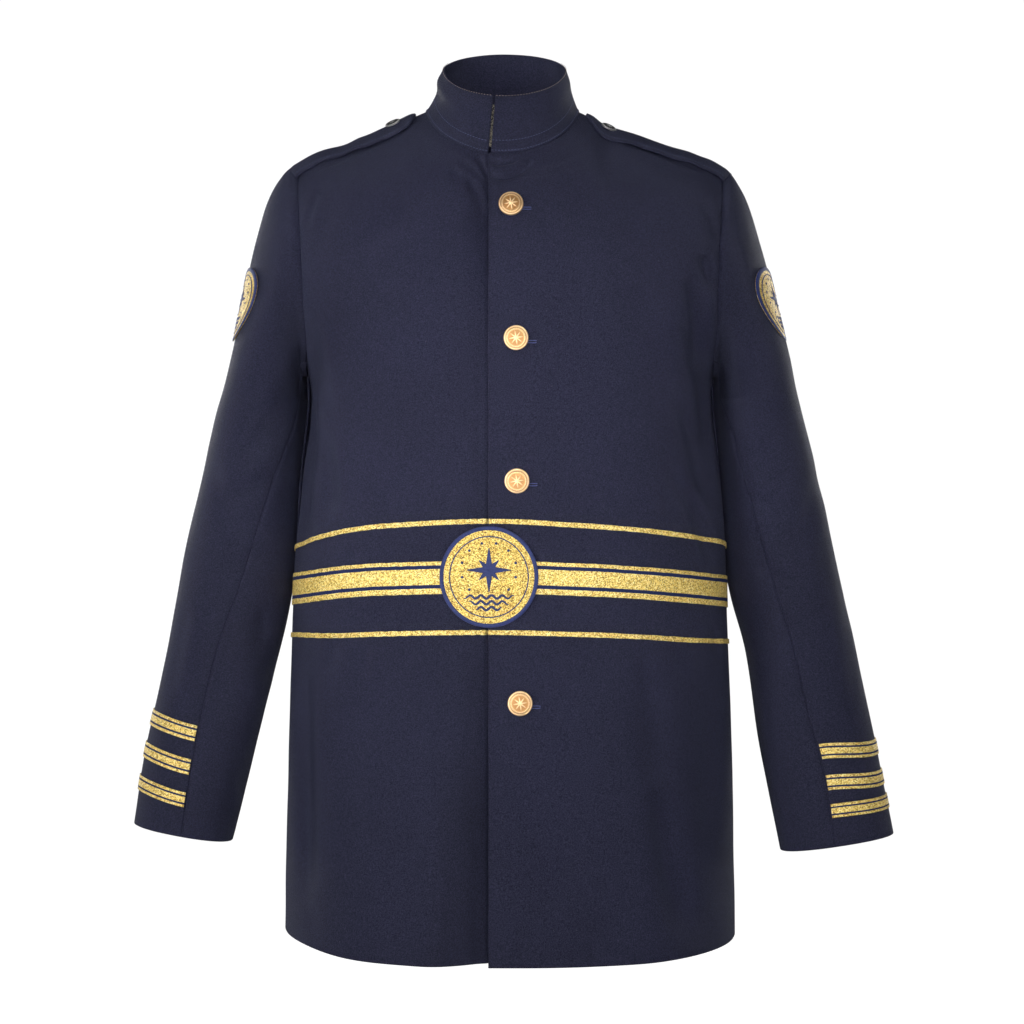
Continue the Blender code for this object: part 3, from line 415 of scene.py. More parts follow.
def underShift(points):
    # the step under the top front, a slope that sinks towards its edge, and a groove there
    x, z = points[..., 0], points[..., 2]
    step = placket["step"] * ease(x, placket["stepFrom"], placket["stepTo"])
    beside = np.maximum(placket["edge"] - x, 0)
    width = np.interp(z, lapSink["height"], lapSink["width"])
    sunk = np.interp(z, lapSink["height"], lapSink["depth"]) * bell(beside, width)
    groove = lapSink["groove"] * bell(beside, lapSink["grooveWidth"])
    return step + sunk + groove * (1 - ease(z, *lapSink["grooveTop"]))


def meshPiece(name, points, faces, uv=None, smooth=True):
    # a mesh from arrays, with its uv given for each point
    mesh = bpy.data.meshes.new(name)
    mesh.from_pydata(np.asarray(points).reshape(-1, 3).tolist(), [], faces)
    if uv is not None:
        corners = np.empty(len(mesh.loops), dtype=np.int32)
        mesh.loops.foreach_get("vertex_index", corners)
        layer = mesh.uv_layers.new(name="ClothUV")
        layer.data.foreach_set("uv", np.asarray(uv, np.float32).reshape(-1, 2)[corners].ravel())
    if smooth:
        mesh.shade_smooth()
    mesh.validate()
    piece = bpy.data.objects.new(name, mesh)
    bpy.context.scene.collection.objects.link(piece)
    return piece


def gridFaces(rows, columns, start=0, reverse=False):
    corner = (np.arange(rows - 1)[:, None] * columns + np.arange(columns - 1)).ravel() + start
    quads = np.stack([corner, corner + 1, corner + columns + 1, corner + columns], -1)
    return quads[:, ::-1] if reverse else quads


def joinParts(parts):
    # parts of points and faces made one
    points, faces, count = [], [], 0
    for partPoints, partFaces in parts:
        points.append(partPoints.reshape(-1, 3))
        faces += [[n + count for n in face] for face in partFaces]
        count += len(points[-1])
    return np.concatenate(points), faces


def clothShell(name, outer, normal, thickness, radius, clothUv):
    # a thin closed shell: the surface, the same moved in, and a half-oval edge all round
    rows, columns = outer.shape[:2]
    inner = outer - normal * thickness
    index = np.arange(rows * columns).reshape(rows, columns)
    ring = np.concatenate([index[0, :-1], index[:-1, -1], index[-1, :0:-1], index[:0:-1, 0]])
    away = np.zeros(outer.shape)
    away[0] += unit(outer[0] - outer[1])
    away[-1] += unit(outer[-1] - outer[-2])
    away[:, 0] += unit(outer[:, 0] - outer[:, 1])
    away[:, -1] += unit(outer[:, -1] - outer[:, -2])
    away = unit(away - normal * (away * normal).sum(-1, keepdims=True)) * radius
    onEdge = np.zeros((rows, columns, 1))
    onEdge.reshape(-1, 1)[ring] = 1
    outer, inner = outer - away * onEdge, inner - away * onEdge
    flatOuter, flatInner = outer.reshape(-1, 3), inner.reshape(-1, 3)
    flatNormal, flatAway = normal.reshape(-1, 3)[ring], away.reshape(-1, 3)[ring]
    middle = (flatOuter[ring] + flatInner[ring]) / 2
    strips = [
        middle + flatNormal * thickness / 2 * np.cos(turn) + flatAway * np.sin(turn)
        for turn in (pi / 4, pi / 2, 3 * pi / 4)
    ]
    count, around = rows * columns, len(ring)
    points = np.concatenate([flatOuter, flatInner, *strips])
    loops = [ring] + [2 * count + k * around + np.arange(around) for k in range(3)] + [ring + count]
    faces = [gridFaces(rows, columns), gridFaces(rows, columns, count, True)]
    for k in range(4):
        low, high = loops[k], loops[k + 1]
        faces.append(np.stack([low, high, np.roll(high, -1), np.roll(low, -1)], -1))
    faces = np.concatenate(faces)
    across, up = outer[0, 1] - outer[0, 0], outer[1, 0] - outer[0, 0]
    if np.dot(np.cross(across, up), normal[0, 0]) < 0:
        faces = faces[:, ::-1]
    flatUv = clothUv.reshape(-1, 2)
    uv = np.concatenate([flatUv, flatUv] + [flatUv[ring]] * 3)
    return meshPiece(name, points, faces.tolist(), uv)


def lengthUv(points, column=None):
    # metres along each row from its start, and metres up one column, read at each height
    across = np.linalg.norm(np.diff(points, axis=1), axis=-1)
    u = np.concatenate([np.zeros((len(points), 1)), np.cumsum(across, 1)], 1)
    path = points[:, points.shape[1] // 2 if column is None else column]
    up = np.concatenate([[0.0], np.cumsum(np.linalg.norm(np.diff(path, axis=0), axis=-1))])
    if column is None:
        return np.stack([u, np.broadcast_to(up[:, None], u.shape)], -1)
    height = points[..., 2]
    beyond = np.maximum(height - path[-1, 2], 0) + np.minimum(height - path[0, 2], 0)
    return np.stack([u, np.interp(height, path[:, 2], up) + beyond], -1)


def shareUv(rows, columns, length):
    # metres along a ribbon, and 0 to 1 across it
    u, v = np.meshgrid(np.linspace(0, length, columns), np.linspace(0, 1, rows))
    return np.stack([u, v], -1)


# Shader nodes and groups


def feed(tree, value, socket):
    # a socket takes another node's output, or a plain value
    if isinstance(value, bpy.types.NodeSocket):
        tree.links.new(value, socket)
    elif value is not None:
        socket.default_value = (*value, 1) if isinstance(value, tuple) else value


def node(tree, kind, feeds=(), **settings):
    made = tree.nodes.new("ShaderNode" + kind)
    for label, value in settings.items():
        setattr(made, label, value)
    for place, value in dict(feeds).items():
        feed(tree, value, made.inputs[place])
    return made


def maths(tree, operation, *values, clamp=False):
    return node(tree, "Math", enumerate(values), operation=operation, use_clamp=clamp).outputs[0]


def noise(tree, vector, scale, detail=2.0, rough=0.5):
    feeds = {"Vector": vector, "Scale": scale, "Detail": detail, "Roughness": rough}
    return node(tree, "TexNoise", feeds).outputs["Fac"]


def mixRgb(tree, factor, first, second):
    return node(tree, "Mix", {0: factor, 6: first, 7: second}, data_type="RGBA").outputs[2]


def ramp(tree, factor, stops):
    made = node(tree, "ValToRGB", {0: factor})
    elements = made.color_ramp.elements
    elements.remove(elements[0])
    elements[0].position = stops[0][0]
    for place, colour in stops[1:]:
        elements.new(place)
    for element, (place, colour) in zip(elements, stops):
        element.color = (*colour, 1)
    return made.outputs[0]


def bumped(tree, shader, height, distance):
    made = node(tree, "Bump", {"Height": height, "Distance": distance, "Strength": 1.0})
    feed(tree, made.outputs[0], shader["Normal"])


def clothCoordinates(tree):
    return node(tree, "UVMap", uv_map="ClothUV").outputs[0]


def objectCoordinates(tree):
    return node(tree, "TexCoord").outputs["Object"]


def newGroup(name, inputs, outputs):
    # an input with no value is a vector, and all others are numbers
    group = bpy.data.node_groups.new(name, "ShaderNodeTree")
    for label, value in inputs.items():
        kind = "NodeSocketVector" if value is None else "NodeSocketFloat"
        feed(group, value, group.interface.new_socket(label, in_out="INPUT", socket_type=kind))
    for label in outputs:
        group.interface.new_socket(label, in_out="OUTPUT", socket_type="NodeSocketFloat")
    return group, group.nodes.new("NodeGroupInput").outputs, group.nodes.new("NodeGroupOutput").inputs


def makeTwillGroup():
    # twill: diagonal ridges across the cloth's own metres, broken up by a fine noise
    inputs = {"Cloth Metres": None, "Place": None, "Pitch": 0.0007}
    group, given, made = newGroup("twill lines", inputs, ("Ridge", "Fleck"))
    metres = node(group, "SeparateXYZ", {0: given["Cloth Metres"]}).outputs
    slanted = maths(group, "MULTIPLY_ADD", metres[0], 0.86, maths(group, "MULTIPLY", metres[1], 0.5))
    turns = maths(group, "DIVIDE", slanted, given["Pitch"])
    turns = maths(group, "MULTIPLY_ADD", noise(group, given["Place"], 900.0), 0.5, turns)
    wave = maths(group, "SINE", maths(group, "MULTIPLY", turns, 2 * pi))
    feed(group, maths(group, "MULTIPLY_ADD", wave, 0.5, 0.5), made["Ridge"])
    feed(group, noise(group, given["Place"], 900.0, 2.0, 0.6), made["Fleck"])
    return group


def makeLurexGroup():
    # metal thread: small cells of unlike brightness, and a broader noise over them, a value that paints
    # glints into the thread's colour
    group, given, made = newGroup("metal thread", {"Cloth Metres": None, "Cell": 0.0009}, ("Painted Glint", "Height"))
    shrunk = node(group, "VectorMath", {0: given["Cloth Metres"], 1: given["Cell"]}, operation="DIVIDE")
    cells = node(group, "TexVoronoi", {"Vector": shrunk.outputs[0], "Scale": 1.0}).outputs
    shade = node(group, "SeparateColor", {0: cells["Color"]}).outputs[0]
    broad = maths(group, "MULTIPLY", noise(group, given["Cloth Metres"], 420.0), 0.28)
    feed(group, maths(group, "MULTIPLY_ADD", shade, 0.72, broad), made["Painted Glint"])
    feed(group, maths(group, "SUBTRACT", 1.0, cells["Distance"]), made["Height"])
    return group


bandLabels = ("First Low", "First High", "Second Low", "Second High")


def makeBandGroup():
    # 1 inside either of two bands across a ribbon, given as shares of its width
    group, given, made = newGroup("two bands", dict.fromkeys(("Across", *bandLabels), 0.0), ("Mask",))
    inside = []
    for label in ("First", "Second"):
        over = maths(group, "GREATER_THAN", given["Across"], given[f"{label} Low"])
        under = maths(group, "LESS_THAN", given["Across"], given[f"{label} High"])
        inside.append(maths(group, "MULTIPLY", over, under))
    feed(group, maths(group, "MAXIMUM", *inside), made["Mask"])
    return group


twillGroup, lurexGroup, bandGroup = makeTwillGroup(), makeLurexGroup(), makeBandGroup()


def newMaterial(name, values):
    # values are set on the shader's own sockets
    material = bpy.data.materials.new(name)
    material.use_nodes = True
    tree = material.node_tree
    shader = tree.nodes["Principled BSDF"].inputs
    for label, value in values.items():
        feed(tree, value, shader[label])
    return material, tree, shader


# Colours and finish of the navy twill, and how strongly each pattern shifts it from its middle
twill = {
    "dark": (0.0068, 0.0072, 0.0180), "light": (0.0390, 0.0405, 0.0850), "lint": (0.12, 0.12, 0.17),
    "pitch": 0.0008, "bump": 0.00022, "sheen": 0.07, "sheenTint": (0.60, 0.66, 1.0), "specular": 0.16,
    "middle": 0.36, "fleck": 1.9, "ridge": 0.22, "broad": 0.34,
}


def makeTwill():
    values = {"Sheen Weight": twill["sheen"], "Sheen Roughness": 0.45, "Sheen Tint": twill["sheenTint"]}
    values["Specular IOR Level"] = twill["specular"]
    material, tree, shader = newMaterial("navy twill", values)
    place = objectCoordinates(tree)
    feeds = {"Cloth Metres": clothCoordinates(tree), "Place": place, "Pitch": twill["pitch"]}
    weave = node(tree, "Group", feeds, node_tree=twillGroup).outputs
    broad = noise(tree, place, 9.0, 3.0, 0.55)
    share = twill["middle"] - (twill["fleck"] + twill["ridge"] + twill["broad"]) / 2
    for pattern, gain in ((weave["Fleck"], "fleck"), (weave["Ridge"], "ridge"), (broad, "broad")):
        share = maths(tree, "MULTIPLY_ADD", pattern, twill[gain], share)
    colour = mixRgb(tree, share, twill["dark"], twill["light"])
    lint = maths(tree, "GREATER_THAN", noise(tree, place, 420.0, 1.0), 0.80)
    colour = mixRgb(tree, maths(tree, "MULTIPLY", lint, 0.3), colour, twill["lint"])
    feed(tree, colour, shader["Base Color"])
    feed(tree, maths(tree, "MULTIPLY_ADD", broad, 0.16, 0.62), shader["Roughness"])
    height = maths(tree, "MULTIPLY_ADD", weave["Fleck"], 0.8, weave["Ridge"])
    bumped(tree, shader, height, twill["bump"])
    return material


# Colours of the metal thread: its gold, with painted shade for the gaps at the dark end and painted glints at
# the bright end, and where the blue lines run
lurex = {
    "stops": (
        (0.0, (0.08, 0.04, 0.006)), (0.30, (0.52, 0.33, 0.065)),
        (0.60, (0.92, 0.68, 0.18)), (1.0, (1.0, 0.95, 0.52)),
    ),
    "blue": (0.004, 0.009, 0.050), "blueLight": (0.012, 0.022, 0.100), "ribPitch": 0.0009,
    "cell": 0.0009, "bump": 0.00030, "metallic": 0.2, "specular": 0.25,
}
braidBands = {"waist": (0.172, 0.283, 0.770, 0.881), "cuff": (0.175, 0.295, 0.695, 0.815)}


def makeLurex(name, bands=None, dimmer=0.0):
    # gold thread whose colour holds painted glints and painted shade, with two ribbed blue lines where bands
    # are given
    material, tree, shader = newMaterial(name, {"Specular IOR Level": lurex["specular"]})
    feeds = {"Cloth Metres": objectCoordinates(tree), "Cell": lurex["cell"]}
    thread = node(tree, "Group", feeds, node_tree=lurexGroup).outputs
    # the thread's value paints glints and shaded gaps into the base colour; the dimmer lowers it, for fewer
    # painted glints
    glint = maths(tree, "SUBTRACT", thread["Painted Glint"], dimmer, clamp=True)
    colour, metallic = ramp(tree, glint, lurex["stops"]), lurex["metallic"]
    shine = maths(tree, "MULTIPLY_ADD", glint, -0.25, 0.58)
    if bands:
        metres = node(tree, "SeparateXYZ", {0: clothCoordinates(tree)}).outputs
        feeds = {"Across": metres[1], **dict(zip(bandLabels, bands))}
        mask = node(tree, "Group", feeds, node_tree=bandGroup).outputs["Mask"]
        rib = maths(tree, "SINE", maths(tree, "MULTIPLY", metres[0], 2 * pi / lurex["ribPitch"]))
        rib = maths(tree, "MULTIPLY_ADD", rib, 0.5, 0.5)
        colour = mixRgb(tree, mask, colour, mixRgb(tree, rib, lurex["blue"], lurex["blueLight"]))
        metallic = maths(tree, "MULTIPLY_ADD", mask, -metallic, metallic)
        shine = maths(tree, "MAXIMUM", shine, maths(tree, "MULTIPLY", mask, 0.8))
    for label, value in (("Base Color", colour), ("Metallic", metallic), ("Roughness", shine)):
        feed(tree, value, shader[label])
    bumped(tree, shader, thread["Height"], lurex["bump"])
    return material


def makeThread(name, dark, light, pitch=0.0006, contrast=1.0):
    # satin thread: a fine noise, stretched about its middle by the contrast
    values = {"Sheen Weight": 0.05, "Sheen Roughness": 0.45, "Specular IOR Level": 0.2}
    material, tree, shader = newMaterial(name, values)
    streak = noise(tree, objectCoordinates(tree), 0.35 / pitch)
    streak = maths(tree, "MULTIPLY_ADD", streak, contrast, 0.5 - contrast / 2, clamp=True)
    feed(tree, mixRgb(tree, streak, dark, light), shader["Base Color"])
    feed(tree, maths(tree, "MULTIPLY_ADD", streak, 0.2, 0.5), shader["Roughness"])
    bumped(tree, shader, streak, 0.0002)
    return material


def makeMetal(name, deep, bright, roughness, worn):
    # recesses are darker by the piece's own height attribute, and the face has fine wear
    material, tree, shader = newMaterial(name, {"Metallic": 1.0})
    relief = node(tree, "Attribute", attribute_name="relief").outputs["Fac"]
    wear = noise(tree, objectCoordinates(tree), 900.0, 3.0, 0.6)
    share = maths(tree, "MULTIPLY_ADD", wear, worn, maths(tree, "SUBTRACT", relief, worn / 2))
    feed(tree, mixRgb(tree, share, deep, bright), shader["Base Color"])
    feed(tree, maths(tree, "MULTIPLY_ADD", wear, 0.22, roughness), shader["Roughness"])
    bumped(tree, shader, wear, 0.00004)
    return material


materials = {
    "twill": makeTwill(),
    "braid": makeLurex("gold braid with blue lines", braidBands["waist"]),
    "stripe": makeLurex("gold cuff stripe with blue lines", braidBands["cuff"]),
    "lurex": makeLurex("gold lurex"),
    "badge": makeLurex("gold badge field", dimmer=0.09),
    "blueThread": makeThread("blue satin thread", (0.010, 0.018, 0.075), (0.040, 0.055, 0.185)),
    "stitch": makeThread("pale blue stitching", (0.045, 0.055, 0.125), (0.110, 0.130, 0.250)),
    "buttonhole": makeThread("buttonhole thread", (0.045, 0.060, 0.180), (0.110, 0.140, 0.320)),
    "rimThread": makeThread("rim thread", (0.22, 0.17, 0.15), (0.50, 0.42, 0.40)),
    "tape": makeThread("grey tape", (0.006, 0.006, 0.006), (0.30, 0.27, 0.21), 0.0005, 4.0),
    "gold": makeMetal("button gold", (0.46, 0.23, 0.080), (1.0, 0.76, 0.46), 0.44, 0.3),
    "pewter": makeMetal("button pewter", (0.06, 0.06, 0.065), (0.90, 0.90, 0.90), 0.36, 0.2),
}
print("materials ready:", len(materials))


def faceOutward(mesh):
    # a closed mesh whose signed volume comes out below nothing is inside out, so it is turned
    points = np.empty(3 * len(mesh.vertices))
    mesh.vertices.foreach_get("co", points)
    mesh.calc_loop_triangles()
    corners = np.empty(3 * len(mesh.loop_triangles), dtype=np.int32)
    mesh.loop_triangles.foreach_get("vertices", corners)
    a, b, c = points.reshape(-1, 3)[corners.reshape(-1, 3)].transpose(1, 0, 2)
    if (a * np.cross(b, c)).sum() < 0:
        mesh.flip_normals()


def finish(piece, material, slot, *nodes):
    faceOutward(piece.data)
    piece.data.materials.append(materials[material])
    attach(piece, "root")
    if nodes:
        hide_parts(*nodes)
    return piece


# The body's three panels

bodyGrid = {
    "low": 144, "armhole": 98, "yoke": 38, "front": 124, "back": 110,
    "placketAt": {"left": 0.0, "right": 0.115}, "placketGain": 7.0, "edgeGain": 3.0, "backGain": 2.0,
    "closeWidth": 0.03,
}


def closerNear(count, centres):
    # shares from 0 to 1 that lie closer together by bell curves at the named centres
    fine = np.linspace(0, 1, 2000)
    density = 1 + sum(gain * bell(fine - centre, bodyGrid["closeWidth"]) for centre, gain in centres)
    travelled = np.concatenate([[0], np.cumsum((density[1:] + density[:-1]) / 2)])
    return np.interp(np.linspace(0, 1, count + 1), travelled / travelled[-1], fine)


def bodyLevels():
    # even up to the underarm, close together where the armhole turns, and even above it
    turn = np.linspace(-pi / 2, pi / 2, bodyGrid["armhole"] + 1)
    armhole = between(underarmLevel, shoulderLevel, (1 + np.sin(turn)) / 2)
    low = np.linspace(0, underarmLevel, bodyGrid["low"] + 1)
    yoke = np.linspace(shoulderLevel, neckLevel, bodyGrid["yoke"] + 1)
    return np.concatenate([low, armhole[1:-1], yoke])


def panelEnd(level, ahead):
    return np.minimum(armholeAngle(level, ahead), pi / 2)


def makeBody():
    levels = bodyLevels()[:, None]
    pieces = {}
    for side, flip in sides.items():
        dense = ((bodyGrid["placketAt"][side], bodyGrid["placketGain"]), (1.0, bodyGrid["edgeGain"]))
        share = closerNear(bodyGrid["front"], dense)
        start = frontAngle(placket["edge"] if side == "left" else placket["underEdge"], levels)
        angle = start + (flip * panelEnd(levels, True) - start) * share
        level = np.broadcast_to(levels, angle.shape)
        outer, normal = bodyCloth(angle, level, side)
        name = f"front_{side}_cloth"
        shell = clothShell(name, outer, normal, cloth["thickness"], cloth["seamRadius"], lengthUv(outer, 0))
        pieces[side] = finish(shell, "twill", "navy_twill", f"front_{side}")
    half = panelEnd(levels, False)
    dense = ((0.0, bodyGrid["backGain"]), (1.0, bodyGrid["backGain"]))
    angle = pi + half * (2 * closerNear(bodyGrid["back"], dense) - 1)
    level = np.broadcast_to(levels, angle.shape)
    outer, normal = bodyCloth(angle, level, "back")
    uv = lengthUv(outer, bodyGrid["back"] // 2)
    shell = clothShell("back_cloth", outer, normal, cloth["thickness"], cloth["seamRadius"], uv)
    pieces["back"] = finish(shell, "twill", "navy_twill", "back")
    return pieces


bodyPieces = makeBody()
print("body ready")

# The collar: its rim's height at the side, front and back, and its half sizes

collarForm = {
    "rimSide": 0.046, "rimFront": 0.008, "rimBack": 0.071, "half": 0.0615, "ahead": 0.070, "behind": 0.062,
    "middle": -0.0055, "lift": 0.0008, "leftEdge": -0.0185, "rightEdge": -0.0212, "columns": 220, "rows": 27,
    "waistLeft": 0.0026, "waistRight": 0.0045, "swellLeft": 0.0016, "swellRight": 0.0044,
    "swellAt": 0.74, "swellWidth": 0.20,
}


def collarBase(angle):
    neck = np.full(np.shape(angle), neckLevel)
    base, normal = bodyPoint(angle, neck), bodyNormal(angle, neck)
    beneath = (np.cos(angle) > 0) & (angle > pi)
    shift = np.where(beneath, underShift(base), 0.0)
    return base - normal * shift[..., None] + np.array([0, 0, collarForm["lift"]])


def collarRim(angle):
    ahead = np.cos(angle) > 0
    depth = np.where(ahead, collarForm["ahead"], collarForm["behind"])
    end = np.where(ahead, collarForm["rimFront"], collarForm["rimBack"])
    reach = ovalReach(angle, collarForm["half"], depth, 2.0)
    y = -reach * np.cos(angle)
    z = between(collarForm["rimSide"], end, np.abs(y) / depth)
    return np.stack([collarForm["middle"] + reach * np.sin(angle), y, z], -1)


def collarPoint(angle, share):
    # straight from the neck seam to the rim, less a parabola that draws the sides in
    across, share = np.sin(angle), np.asarray(share)
    waist = np.where(across > 0, collarForm["waistLeft"], collarForm["waistRight"])
    swell = np.where(across > 0, collarForm["swellLeft"], collarForm["swellRight"])
    swell = swell * bell(share - collarForm["swellAt"], collarForm["swellWidth"])
    swell = swell * (1 - np.clip(share, 0, 1) ** 6)
    inward = across * np.abs(across) * (waist * 4 * share * (1 - share) - swell)
    share = share[..., None]
    point = collarBase(angle) * (1 - share) + collarRim(angle) * share
    return point - np.stack([inward, 0 * inward, 0 * inward], -1)


def collarNormal(angle, share):
    return normalOf(collarPoint, angle, share)


def collarAngles(columns):
    start = frontAngle(collarForm["leftEdge"], neckLevel)
    end = 2 * pi + frontAngle(collarForm["rightEdge"], neckLevel)
    return np.linspace(start, end, columns)


def collarOut(angle, share):
    # a little bow between seam and rim, a slight wave round, and the seam's edge standing proud
    bow = 0.0010 * np.sin(pi * share)
    wave = 0.0004 * np.sin(5 * angle + 0.7) * np.sin(3 * angle + 2.0 + 2 * share)
    return bow + wave * share + 0.0008 * (1 - ease(share, 0.0, 0.06))


def makeCollar():
    angle = np.broadcast_to(collarAngles(collarForm["columns"]), (collarForm["rows"], collarForm["columns"]))
    share = np.broadcast_to(np.linspace(-0.02, 1, collarForm["rows"])[:, None], angle.shape)
    normal = collarNormal(angle, share)
    outer = collarPoint(angle, share) + normal * collarOut(angle, share)[..., None]
    shell = clothShell("collar_cloth", outer, normal, cloth["collar"], cloth["collarRadius"], lengthUv(outer))
    return finish(shell, "twill", "navy_twill", "collar")


collarPiece = makeCollar()

# The tape's edge in the collar's opening
tapeForm = {
    "start": -0.046, "end": -0.0140, "low": 0.12, "high": 0.86, "columns": 60, "rows": 70,
    "thickness": 0.0010, "radius": 0.0003, "sunk": 0.0006, "rough": 0.00025,
    "bulge": 0.0026, "middle": -0.0199, "width": 0.0010,
}


def makeTape():
    start, end = (2 * pi + frontAngle(tapeForm[key], neckLevel) for key in ("start", "end"))
    across = np.linspace(start, end, tapeForm["columns"])
    angle, share = np.meshgrid(across, np.linspace(tapeForm["low"], tapeForm["high"], tapeForm["rows"]))
    base, normal = collarPoint(angle, share), collarNormal(angle, share)
    rough = tapeForm["rough"] * np.sin(900 * share) * np.sin(2600 * base[..., 0])
    bulge = tapeForm["bulge"] * bell(base[..., 0] - tapeForm["middle"], tapeForm["width"])
    outer = base + normal * (bulge + rough - cloth["collar"] - tapeForm["sunk"])[..., None]
    thickness, radius = tapeForm["thickness"], tapeForm["radius"]
    shell = clothShell("collar_tape", outer, normal, thickness, radius, lengthUv(outer))
    finish(shell, "tape", "tape", "collar_tab")


makeTape()
print("collar ready")

# The sleeves: a column for each named size, from the upper arm to the cuff

sleeveCut = {
    "left": {
        "x": (0.2478, 0.2531, 0.2619, 0.2705, 0.2791, 0.2902, 0.2997, 0.3097, 0.3240),
        "y": (0.006, 0.013, 0.022, 0.026, 0.025, 0.018, 0.006, -0.008, -0.020),
        "z": (-0.285, -0.315, -0.375, -0.435, -0.480, -0.525, -0.585, -0.645, -0.7235),
        "half": (0.0403, 0.0431, 0.0499, 0.0544, 0.0557, 0.0544, 0.0557, 0.0567, 0.0567),
        "depth": (0.070, 0.069, 0.066, 0.061, 0.057, 0.054, 0.050, 0.046, 0.041),
        "tilt": (0.0, 2.0, 4.0, 7.0, 8.5, 9.5, 10.0, 10.0, 8.8),
        "seam": (-0.97, -0.82, -0.56, -0.36, -0.26, -0.22, -0.15, -0.07, -0.12),
    },
    "right": {
        "x": (0.2483, 0.2539, 0.2620, 0.2707, 0.2776, 0.2862, 0.2985, 0.3109, 0.3238),
        "y": (0.006, 0.013, 0.022, 0.026, 0.025, 0.018, 0.006, -0.008, -0.020),
        "z": (-0.285, -0.315, -0.375, -0.435, -0.480, -0.525, -0.585, -0.645, -0.7133),
        "half": (0.0408, 0.0439, 0.0500, 0.0557, 0.0567, 0.0555, 0.0539, 0.0530, 0.0491),
        "depth": (0.070, 0.069, 0.066, 0.061, 0.057, 0.054, 0.051, 0.049, 0.046),
        "tilt": (0.0, 2.0, 4.0, 7.0, 9.0, 10.0, 11.0, 11.0, 10.5),
        "seam": (-0.97, -0.88, -0.51, -0.27, -0.12, 0.01, 0.045, 0.005, -0.06),
    },
}
sleeveForm = {
    "square": 2.25, "frontSeam": -62.0, "hindSeam": (208.0, 200.0, 172.0), "topRise": 0.1,
    "underRise": 0.8, "spread": 0.10, "rowsCap": 68, "capCloser": 1.5, "rowsArm": 194, "top": 68, "under": 44,
}
capPull = {"left": (0.37, 0.95), "right": (0.50, 0.82)}

# Creases of the sleeves in the same columns, as seen from the front at the sleeve's own side
sleeveCreases = {
    "right": {
        "front": (
            (-216, -62, -222, -95, -228, -135, 5.0, -1.6, 0.3),
            (-210, -70, -213, -110, -214, -160, 4.5, 1.4, 0.1),
            (-236, -90, -243, -150, -246, -200, 12.0, 1.6, 0.0),
            (-214, -215, -232, -262, -262, -290, 9.0, 2.0, 0.2),
            (-215, -285, -240, -330, -280, -352, 10.0, 2.4, 0.25),
            (-219, -350, -246, -372, -292, -384, 9.0, 2.2, 0.25),
            (-300, -330, -286, -400, -262, -440, 11.0, 2.4, 0.2),
            (-228, -440, -250, -452, -280, -450, 7.0, 1.6, 0.3),
            (-237, -470, -250, -520, -262, -560, 8.0, 2.0, 0.2),
            (-245, -488, -244, -530, -242, -572, 8.0, 3.4, 0.1),
            (-318, -480, -334, -540, -336, -590, 9.0, 2.0, 0.15),
            (-268, -560, -300, -600, -330, -612, 12.0, 1.5, 0.1),
            (-258, -600, -264, -640, -262, -690, 11.0, 2.0, 0.1),
            (-272, -668, -278, -690, -280, -714, 8.0, 1.8, 0.15),
            (-330, -690, -332, -705, -334, -722, 7.0, 1.2, 0.2),
        ),
        "back": (
            (-214, -200, -236, -250, -268, -285, 9.0, 1.8, 0.2),
            (-222, -330, -256, -372, -300, -380, 9.0, 2.6, 0.25),
            (-226, -392, -262, -420, -312, -420, 8.0, 2.6, 0.25),
            (-232, -448, -266, -462, -314, -458, 8.0, 2.0, 0.25),
            (-262, -540, -290, -600, -300, -670, 14.0, 1.8, 0.0),
        ),
    },
    "left": {
        "front": (
            (214, -64, 219, -100, 222, -150, 5.0, -1.0, 0.3),
            (236, -96, 246, -160, 250, -210, 11.0, 1.4, 0.0),
            (262, -150, 268, -220, 284, -280, 8.0, -1.4, 0.3),
            (214, -220, 228, -262, 256, -300, 8.0, 1.8, 0.2),
            (217, -300, 236, -340, 270, -372, 9.0, 2.0, 0.2),
            (224, -372, 246, -392, 286, -398, 9.0, 2.2, 0.25),
            (310, -340, 296, -410, 272, -452, 10.0, 2.2, 0.2),
            (236, -440, 256, -462, 292, -470, 7.0, 1.6, 0.3),
            (246, -480, 254, -530, 258, -590, 9.0, 2.6, 0.1),
            (330, -470, 340, -530, 344, -590, 9.0, 1.5, 0.15),
            (276, -560, 304, -600, 338, -606, 12.0, 1.5, 0.1),
            (266, -600, 272, -650, 274, -700, 10.0, 2.0, 0.1),
            (300, -690, 303, -705, 306, -726, 8.0, 1.0, 0.2),
        ),
        "back": (
            (214, -200, 238, -256, 270, -288, 9.0, 1.8, 0.2),
            (222, -340, 258, -378, 302, -388, 9.0, 2.4, 0.25),
            (228, -400, 264, -428, 312, -430, 8.0, 2.6, 0.25),
            (236, -458, 268, -474, 318, -468, 8.0, 1.8, 0.25),
            (264, -550, 292, -610, 302, -680, 14.0, 1.8, 0.0),
        ),
    },
}


# How the under sleeve swells behind the body's side, so that no light comes between them
sleeveTuck = {
    "turn": -128.0, "spread": 24.0, "height": 0.021, "begins": (0.35, 1.1), "ends": (3.4, 4.7),
    "gap": 0.0007, "soft": 0.0010, "fullFrom": (0.3, 0.9),
}


# Depths, heights and widths of what the sewing does to a sleeve: a dip along each seam, a dip and
# a roll beside the armhole, and a rise under the shoulder strap
sleeveHead = {
    "seam": (0.0007, 0.0018), "dip": (0.0013, 0.0014, 0.7), "roll": (0.0008, 0.006, 0.004),
    "strap": (-0.003, 0.028, -0.100, -0.075), "rise": (0.0016, 0.0, 0.0014, 0.006, 0.024), "waves": 1.2,
}


